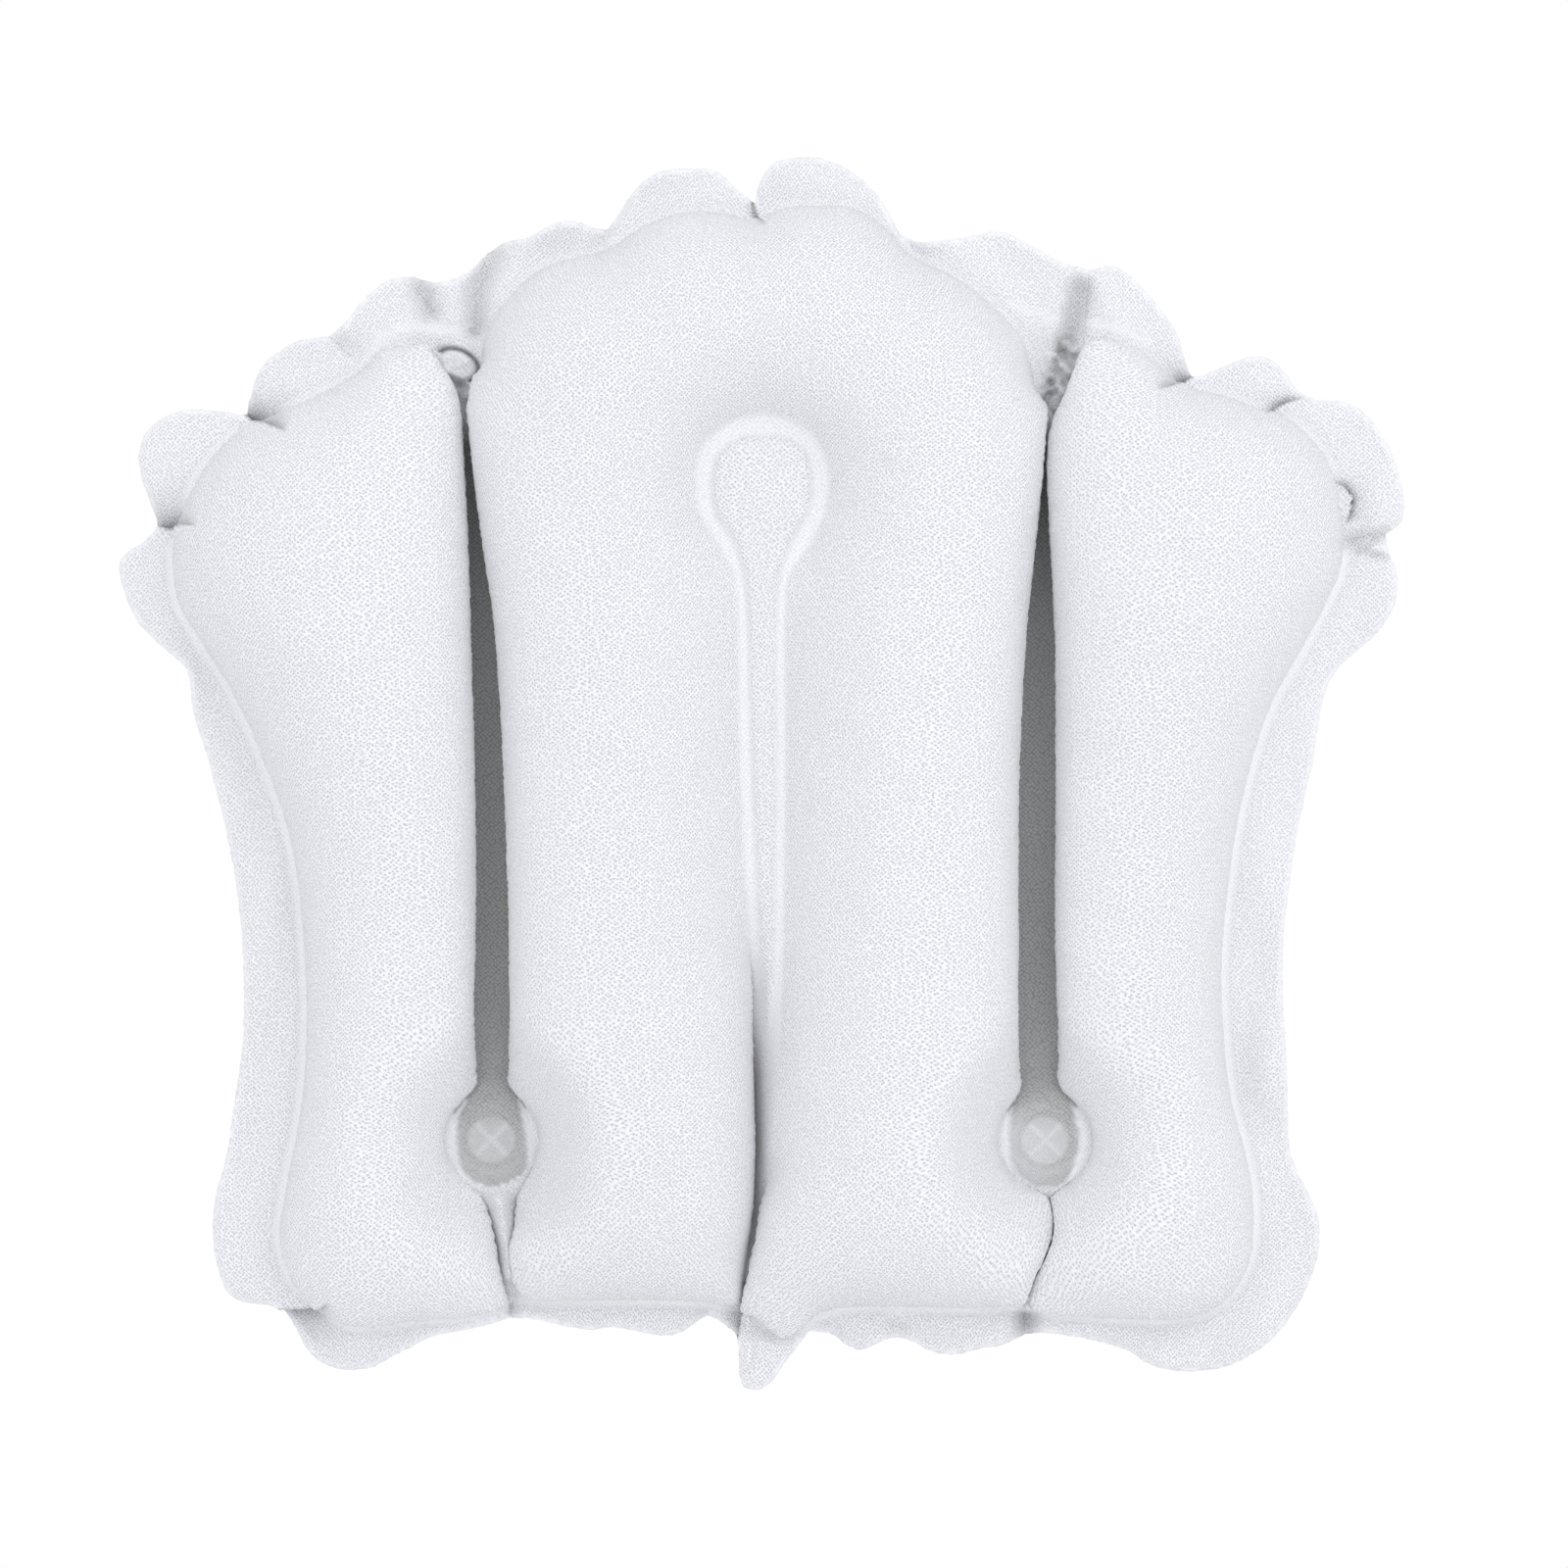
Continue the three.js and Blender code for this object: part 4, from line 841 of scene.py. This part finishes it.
class Wire:
    # a shader socket that takes part in sums
    def __init__(self, tree, socket=None):
        self.tree, self.socket = tree, socket

    def node(self, kind, settings=None, sockets=None, out=0):
        made = self.tree.nodes.new(kind)
        for name, value in (settings or {}).items():
            setattr(made, name, value)
        for name, value in (sockets or {}).items():
            if isinstance(value, Wire):
                self.tree.links.new(value.socket, made.inputs[name])
            else:
                made.inputs[name].default_value = value
        return Wire(self.tree, made.outputs[out]) if made.outputs else made

    def maths(self, operation, first, second, clamp=False):
        return self.node("ShaderNodeMath", dict(operation=operation, use_clamp=clamp), {0: first, 1: second})

    def __add__(self, other):
        return self.maths("ADD", self, other)

    def __radd__(self, other):
        return self.maths("ADD", other, self)

    def __sub__(self, other):
        return self.maths("SUBTRACT", self, other)

    def __rsub__(self, other):
        return self.maths("SUBTRACT", other, self)

    def __mul__(self, other):
        return self.maths("MULTIPLY", self, other)

    def __rmul__(self, other):
        return self.maths("MULTIPLY", other, self)

    def clamped(self):
        return self.maths("ADD", self, 0.0, True)

    def blended(self, first, second):
        return self.node("ShaderNodeMix", dict(data_type="RGBA"), {0: self, 6: first, 7: second}, 2)

    def into(self, socket):
        self.tree.links.new(self.socket, socket)


def newFinish(name, **shader):
    finish = bpy.data.materials.new(name)
    finish.use_nodes = True
    body = finish.node_tree.nodes["Principled BSDF"]
    for socket, value in shader.items():
        body.inputs[socket.replace("_", " ")].default_value = value
    return finish, body.inputs, Wire(finish.node_tree)


def painted(w, name, out="Fac"):
    return w.node("ShaderNodeAttribute", dict(attribute_name=name), out=out)


def noise(w, place, scale, detail, out="Fac", **more):
    sockets = {"Vector": place, "Scale": scale, "Detail": detail, **more}
    return w.node("ShaderNodeTexNoise", None, sockets, out)


def embossed(w, inputs, height, strength, distance):
    sockets = {"Strength": strength, "Distance": distance, "Height": height}
    w.node("ShaderNodeBump", None, sockets, "Normal").into(inputs["Normal"])


terryLook = dict(
    colour=(0.975, 0.978, 0.996, 1),
    gap=(0.60, 0.605, 0.635, 1),
    weld=(0.972, 0.976, 0.99, 1),
    # the channel strips' knit, grey with painted shade
    shadedStrip=(0.73, 0.73, 0.72, 1),
    shadedStripGap=(0.40, 0.40, 0.395, 1),
    shade=(0.19, 0.195, 0.20, 1),
    pitch=1.0,           # mm from loop to loop
    stray=0.45,          # how far the loops stand off their rows
    drift=2.2,           # how far the rows wander, mm
    draw=(4.2, 1.3, 1),  # fibres finer across than along
    fibre=1.2,
    mottle=0.06,
    pressed=0.62,        # how much of the weld's colour a weld shows
    bump=0.0006,
)


def terryFinish():
    look = terryLook
    finish, inputs, w = newFinish("terryLoops", Roughness=0.95, Sheen_Weight=0.8, Sheen_Roughness=0.4,
                                  Specular_IOR_Level=0.1)
    cloth = painted(w, "cloth", "Vector")
    drift = noise(w, cloth, 0.13, 2.0, "Color")
    wander = {0: drift, 1: (look["drift"], look["drift"], 0), 2: cloth}
    warped = w.node("ShaderNodeVectorMath", dict(operation="MULTIPLY_ADD"), wander)
    drawn = w.node("ShaderNodeVectorMath", dict(operation="MULTIPLY"), {0: warped, 1: look["draw"]})
    staggered = w.node("ShaderNodeMapping", None, {"Vector": warped, "Rotation": (0, 0, math.pi / 4)})
    loops = w.node("ShaderNodeTexVoronoi", dict(feature="F1", voronoi_dimensions="2D"),
                   {"Vector": staggered, "Scale": 1 / look["pitch"], "Randomness": look["stray"]}, "Distance")
    dots = (1 - loops * 2.6).clamped()
    fibre = noise(w, drawn, 1.0, 0.0)
    mottle = noise(w, cloth, 0.07, 3.0)
    weldOn, shadedStripOn, rimOn, shadeOn = (painted(w, name) for name in ("weld", "shadedStrip", "rim", "shade"))
    smooth = (weldOn + rimOn).clamped()
    between = dots * (fibre * 4 - 1).clamped()
    gaps = (between + (fibre - 0.5) * look["fibre"] + (mottle - 0.5) * look["mottle"]).clamped()
    pile = gaps.blended(look["colour"], look["gap"])
    pressed = (smooth * look["pressed"]).blended(pile, look["weld"])
    # knit pattern of the channel strips, in painted shade
    shadedKnit = (loops * 1.6).clamped().blended(look["shadedStrip"], look["shadedStripGap"])
    covered = shadedStripOn.blended(pressed, shadedKnit)
    (shadeOn * 0.9).clamped().blended(covered, look["shade"]).into(inputs["Base Color"])
    embossed(w, inputs, (1 - dots + fibre * 0.5) * (1 - smooth * 0.85), 0.6, look["bump"])
    return finish


filmLook = dict(colour=(0.84, 0.85, 0.87, 1), shade=(0.78, 0.795, 0.82, 1), weld=(0.76, 0.775, 0.80, 1),
                crinkle=110.0, grain=1500.0, bump=0.0012)


def filmFinish():
    look = filmLook
    finish, inputs, w = newFinish("vinylBack")
    place = w.node("ShaderNodeTexCoord", out="Object")
    crinkle = noise(w, place, look["crinkle"], 4.0, Distortion=0.8)
    grain = noise(w, place, look["grain"], 1.0)
    weldOn = painted(w, "weld")
    tone = crinkle.blended(look["colour"], look["shade"])
    (weldOn * 0.7).blended(tone, look["weld"]).into(inputs["Base Color"])
    (0.28 + crinkle * 0.14 + weldOn * 0.12).into(inputs["Roughness"])
    embossed(w, inputs, crinkle + grain * 0.04, 0.5, look["bump"])
    return finish


terry, film = terryFinish(), filmFinish()
for piece in (leftPanel, rightPanel, centrePanel):
    piece.data.materials.append(terry)
    piece.data.materials.append(film)
print("cover finished")


def foldBlend(piece, side, wing):
    joint = next(j for j in frame["joints"] if j["child"] == wing)
    mid, axis = np.array(joint["pos_m"]), np.array(joint["axis"])
    across = np.array([axis[2], 0, -axis[0]])
    across *= side / (np.sign(across[0]) * np.linalg.norm(across))
    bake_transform(piece)


foldBlend(leftPanel, -1, "left_wing")
foldBlend(rightPanel, 1, "right_wing")
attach(centrePanel, "centre")
for piece, part in ((leftPanel, "left_wing"), (rightPanel, "right_wing"), (centrePanel, "centre")):
    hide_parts("terry_" + part, "back_film_" + part)


def turnedPiece(name, profile, mid, around=96, crease=38):
    # round piece about Y from [radius, y] corners in mm; a corner on the axis closes it
    rings, points, faces = [], [], []
    for radius, y in profile:
        if radius < 1e-6:
            rings.append([len(points)])
            points.append((mid[0], y / 1000, mid[1]))
            continue
        rings.append(list(range(len(points), len(points) + around)))
        for k in range(around):
            angle = math.tau * k / around
            across, up = radius / 1000 * math.cos(angle), radius / 1000 * math.sin(angle)
            points.append((mid[0] + across, y / 1000, mid[1] + up))
    pairs = list(zip(rings[:-1], rings[1:]))
    if len(rings[0]) > 1:
        pairs.append((rings[-1], rings[0]))
    for near, far in pairs:
        for k in range(around):
            n = (k + 1) % around
            if len(near) == 1:
                faces.append((near[0], far[k], far[n]))
            elif len(far) == 1:
                faces.append((near[n], near[k], far[0]))
            else:
                faces.append((near[n], near[k], far[k], far[n]))
    return addMesh(name, points, faces, crease)


def middleOf(node):
    lowest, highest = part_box(node)
    return (lowest.x + highest.x) / 2, (lowest.z + highest.z) / 2


def fitted(piece, finish, body, node):
    piece.data.materials.append(finish)
    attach(piece, body)
    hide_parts(node)


def mouldedFinish(name, look, **shader):
    # soft moulded plastic: clouded colour, fine grain in the gloss
    finish, inputs, w = newFinish(name, **shader)
    place = w.node("ShaderNodeTexCoord", out="Object")
    cloud, grain = noise(w, place, look["cloud"], 3.0), noise(w, place, look["grain"], 2.0)
    cloud.blended(look["colour"], look["haze"]).into(inputs["Base Color"])
    (look["rough"] + cloud * look["cloudRough"] + grain * look["grainRough"]).into(inputs["Roughness"])
    embossed(w, inputs, grain, look["bump"], 0.0002)
    return finish


cupLook = dict(colour=(0.80, 0.83, 0.84, 1), haze=(0.72, 0.76, 0.78, 1), through=0.35,
               cloud=90.0, grain=900.0, rough=0.14, cloudRough=0.12, grainRough=0.08, bump=0.3)
cupParts = dict(
    head=[(0, -21.6), (4.6, -21.6), (5.1, -21.3), (5.2, -20.7), (5.1, -20.0), (4.7, -19.7), (3.3, -19.7)],
    neck=[(3.2, -19.2), (3.1, -16.5), (3.3, -14.2), (4.4, -13.0), (6.2, -12.5), (6.9, -12.2), (7.1, -11.5)],
    bell=[(8.6, -11.1), (11.5, -9.4), (14.2, -7.0), (16.6, -4.5), (18.3, -2.6), (19.3, -1.7), (19.9, -1.1),
          (20.0, -0.5)],
    rim=[(19.8, -0.1), (19.4, 0.0), (18.2, 0.0)],
    hollow=[(17.4, -0.5), (15.6, -2.2), (12.8, -4.4), (9.4, -6.6), (8.9, -6.5), (8.4, -7.1), (5.0, -8.5),
            (2.4, -8.9), (0, -9.0)],
)
socketProfile = [(0, -22.95), (8.7, -22.95), (11.6, -22.9), (11.8, -22.7), (11.5, -22.5), (9.6, -22.3),
                 (9.0, -21.9), (8.9, -20.0), (8.6, -19.2), (8.0, -18.5), (7.3, -18.2), (4.2, -18.15),
                 (3.6, -18.4), (3.5, -19.0), (3.8, -19.35), (5.3, -19.4), (5.5, -19.7), (5.5, -21.7),
                 (5.2, -21.95), (0, -21.95)]
milky = mouldedFinish("milkyVinyl", cupLook, Transmission_Weight=cupLook["through"], IOR=1.45)
for row in ("upper", "lower"):
    for side in ("left", "right"):
        part, tag = row + "_" + side, row.capitalize() + side.capitalize()
        mid = middleOf("suction_cup_" + part)
        cup = turnedPiece("suctionCup" + tag, sum(cupParts.values(), []), mid)
        socket = turnedPiece("cupSocket" + tag, socketProfile, mid)
        fitted(cup, milky, "cup_" + part, "suction_cup_" + part)
        fitted(socket, milky, "centre", "cup_socket_" + part)
print("cups and sockets made")


def strapPiece(name, corners, width, thick, mid):
    # flat strap through [y, z] corners in mm, rounded across its width
    half, flat, edge = width / 2, width / 2 - 0.3, thick / 2
    section = [(-half, 0), (-flat, edge), (flat, edge), (half, 0), (flat, -edge), (-flat, -edge)]
    line = np.array(corners, float)
    along = np.gradient(line, axis=0)
    along /= np.linalg.norm(along, axis=1)[:, None]
    points, faces = [], []
    for (y0, z0), (ay, az) in zip(line, along):
        for u, v in section:
            points.append((mid[0] + u / 1000, (y0 + az * v) / 1000, mid[1] + (z0 - ay * v) / 1000))
    n = len(section)
    for i in range(len(line) - 1):
        for k in range(n):
            faces.append((i * n + k, i * n + (k + 1) % n, (i + 1) * n + (k + 1) % n, (i + 1) * n + k))
    faces.append(tuple(reversed(range(n))))
    faces.append(tuple(range((len(line) - 1) * n, len(line) * n)))
    return addMesh(name, points, faces)


valveLook = dict(colour=(0.86, 0.87, 0.88, 1), haze=(0.80, 0.815, 0.83, 1), cloud=160.0, grain=2200.0,
                 rough=0.36, cloudRough=0.0, grainRough=0.16, bump=0.25)
valveParts = dict(
    flange=[(6.5, -10.95), (15.4, -10.95), (16.0, -10.7), (16.0, -10.45), (15.4, -10.2), (14.6, -10.15),
            (14.2, -9.85), (13.6, -9.75), (13.0, -9.85), (12.6, -10.1), (11.2, -10.1), (10.8, -9.8),
            (10.2, -9.75), (7.2, -9.75), (6.5, -9.95)],
    stem=[(3.5, -29.4), (5.2, -29.45), (5.8, -29.2), (6.0, -28.6), (6.0, -10.4), (6.0, -9.45), (8.8, -9.45),
          (9.4, -9.25), (9.5, -8.8), (9.3, -8.2), (8.7, -7.95), (4.2, -7.95), (3.5, -8.3)],
    plug=[(0, -11.5), (1.7, -11.5), (2.0, -11.3), (2.5, -9.9), (2.9, -9.3), (2.6, -8.9), (3.2, -7.7),
          (6.0, -7.65), (6.5, -7.4), (6.5, -6.8), (6.3, -6.4), (5.7, -6.1), (4.4, -6.05), (4.0, -6.3),
          (2.2, -6.35), (1.6, -6.1), (0, -6.05)],
)
tetherStrap = dict(corners=[(-7.1, 6.3), (-7.0, 7.0), (-6.9, 7.8), (-6.95, 8.6), (-7.15, 9.4)],
                   width=4.0, thick=0.9)
plastic = mouldedFinish("valvePlastic", valveLook, Subsurface_Weight=0.1)
valveMid = middleOf("valve_flange")
for part, body in (("flange", "centre"), ("stem", "stem"), ("plug", "plug")):
    piece = turnedPiece("valve" + part.capitalize(), valveParts[part], valveMid)
    fitted(piece, plastic, body, "valve_" + part)
fitted(strapPiece("plugTether", mid=valveMid, **tetherStrap), plastic, "plug", "plug_tether")
flap = frame["nodes"]["valve_flap"]
flap.data.materials.clear()
flap.data.materials.append(milky)
print("valve made")

studio = dict(
    distance=5.0,
    frame=0.488,
    sensor=36.0,
    aim=(0.0064, -0.026, -0.0099),
    floor=-0.45,
    floorHalf=1.65,
    floorTone=(0.92, 0.92, 0.92, 1),
    sky=(0.96, 0.97, 1.0, 1),
    skyLight=0.91,
    key=dict(place=(1.15, -1.7, 1.15), size=1.5, power=7.6),
    fill=dict(place=(-1.3, -2.0, 0.1), size=1.8, power=3),
)


def makeStudio():
    eye = bpy.data.cameras.new("eye")
    eye.sensor_width = studio["sensor"]
    eye.lens = studio["sensor"] * studio["distance"] / studio["frame"]
    eye.clip_end = 100
    camera = addPiece("eye", eye)
    aimX, aimY, aimZ = studio["aim"]
    camera.location = (aimX, aimY - studio["distance"], aimZ)
    camera.rotation_euler = (math.pi / 2, 0, 0)
    scene.camera = camera
    for name in ("key", "fill"):
        lamp = bpy.data.lights.new(name, "AREA")
        lamp.size, lamp.energy = studio[name]["size"], studio[name]["power"]
        stand = addPiece(name, lamp)
        stand.location = studio[name]["place"]
        stand.rotation_euler = (-Vector(studio[name]["place"])).to_track_quat("-Z", "Y").to_euler()
    world = bpy.data.worlds.new("softRoom")
    scene.world = world
    world.use_nodes = True
    world.node_tree.nodes.clear()
    w = Wire(world.node_tree)
    seen, shiny, through = (w.node("ShaderNodeLightPath", out="Is " + kind + " Ray")
                            for kind in ("Camera", "Glossy", "Transmission"))
    plain = w.node("ShaderNodeBackground", None, {"Color": studio["sky"], "Strength": studio["skyLight"]})
    white = w.node("ShaderNodeBackground", None, {"Color": (1, 1, 1, 1), "Strength": 1.0})
    mixture = {0: (seen + shiny + through).clamped(), 1: plain, 2: white}
    w.node("ShaderNodeOutputWorld", None, {"Surface": w.node("ShaderNodeMixShader", None, mixture)})
    half, level = studio["floorHalf"], studio["floor"]
    corners = [(-half, -half, level), (half, -half, level), (half, half, level), (-half, half, level)]
    floor = addMesh("floor", corners, [(0, 1, 2, 3)])
    matte, *_ = newFinish("paleFloor", Roughness=0.9, Base_Color=studio["floorTone"])
    floor.data.materials.append(matte)


makeStudio()
scene.view_settings.view_transform = "Standard"
print("studio set")
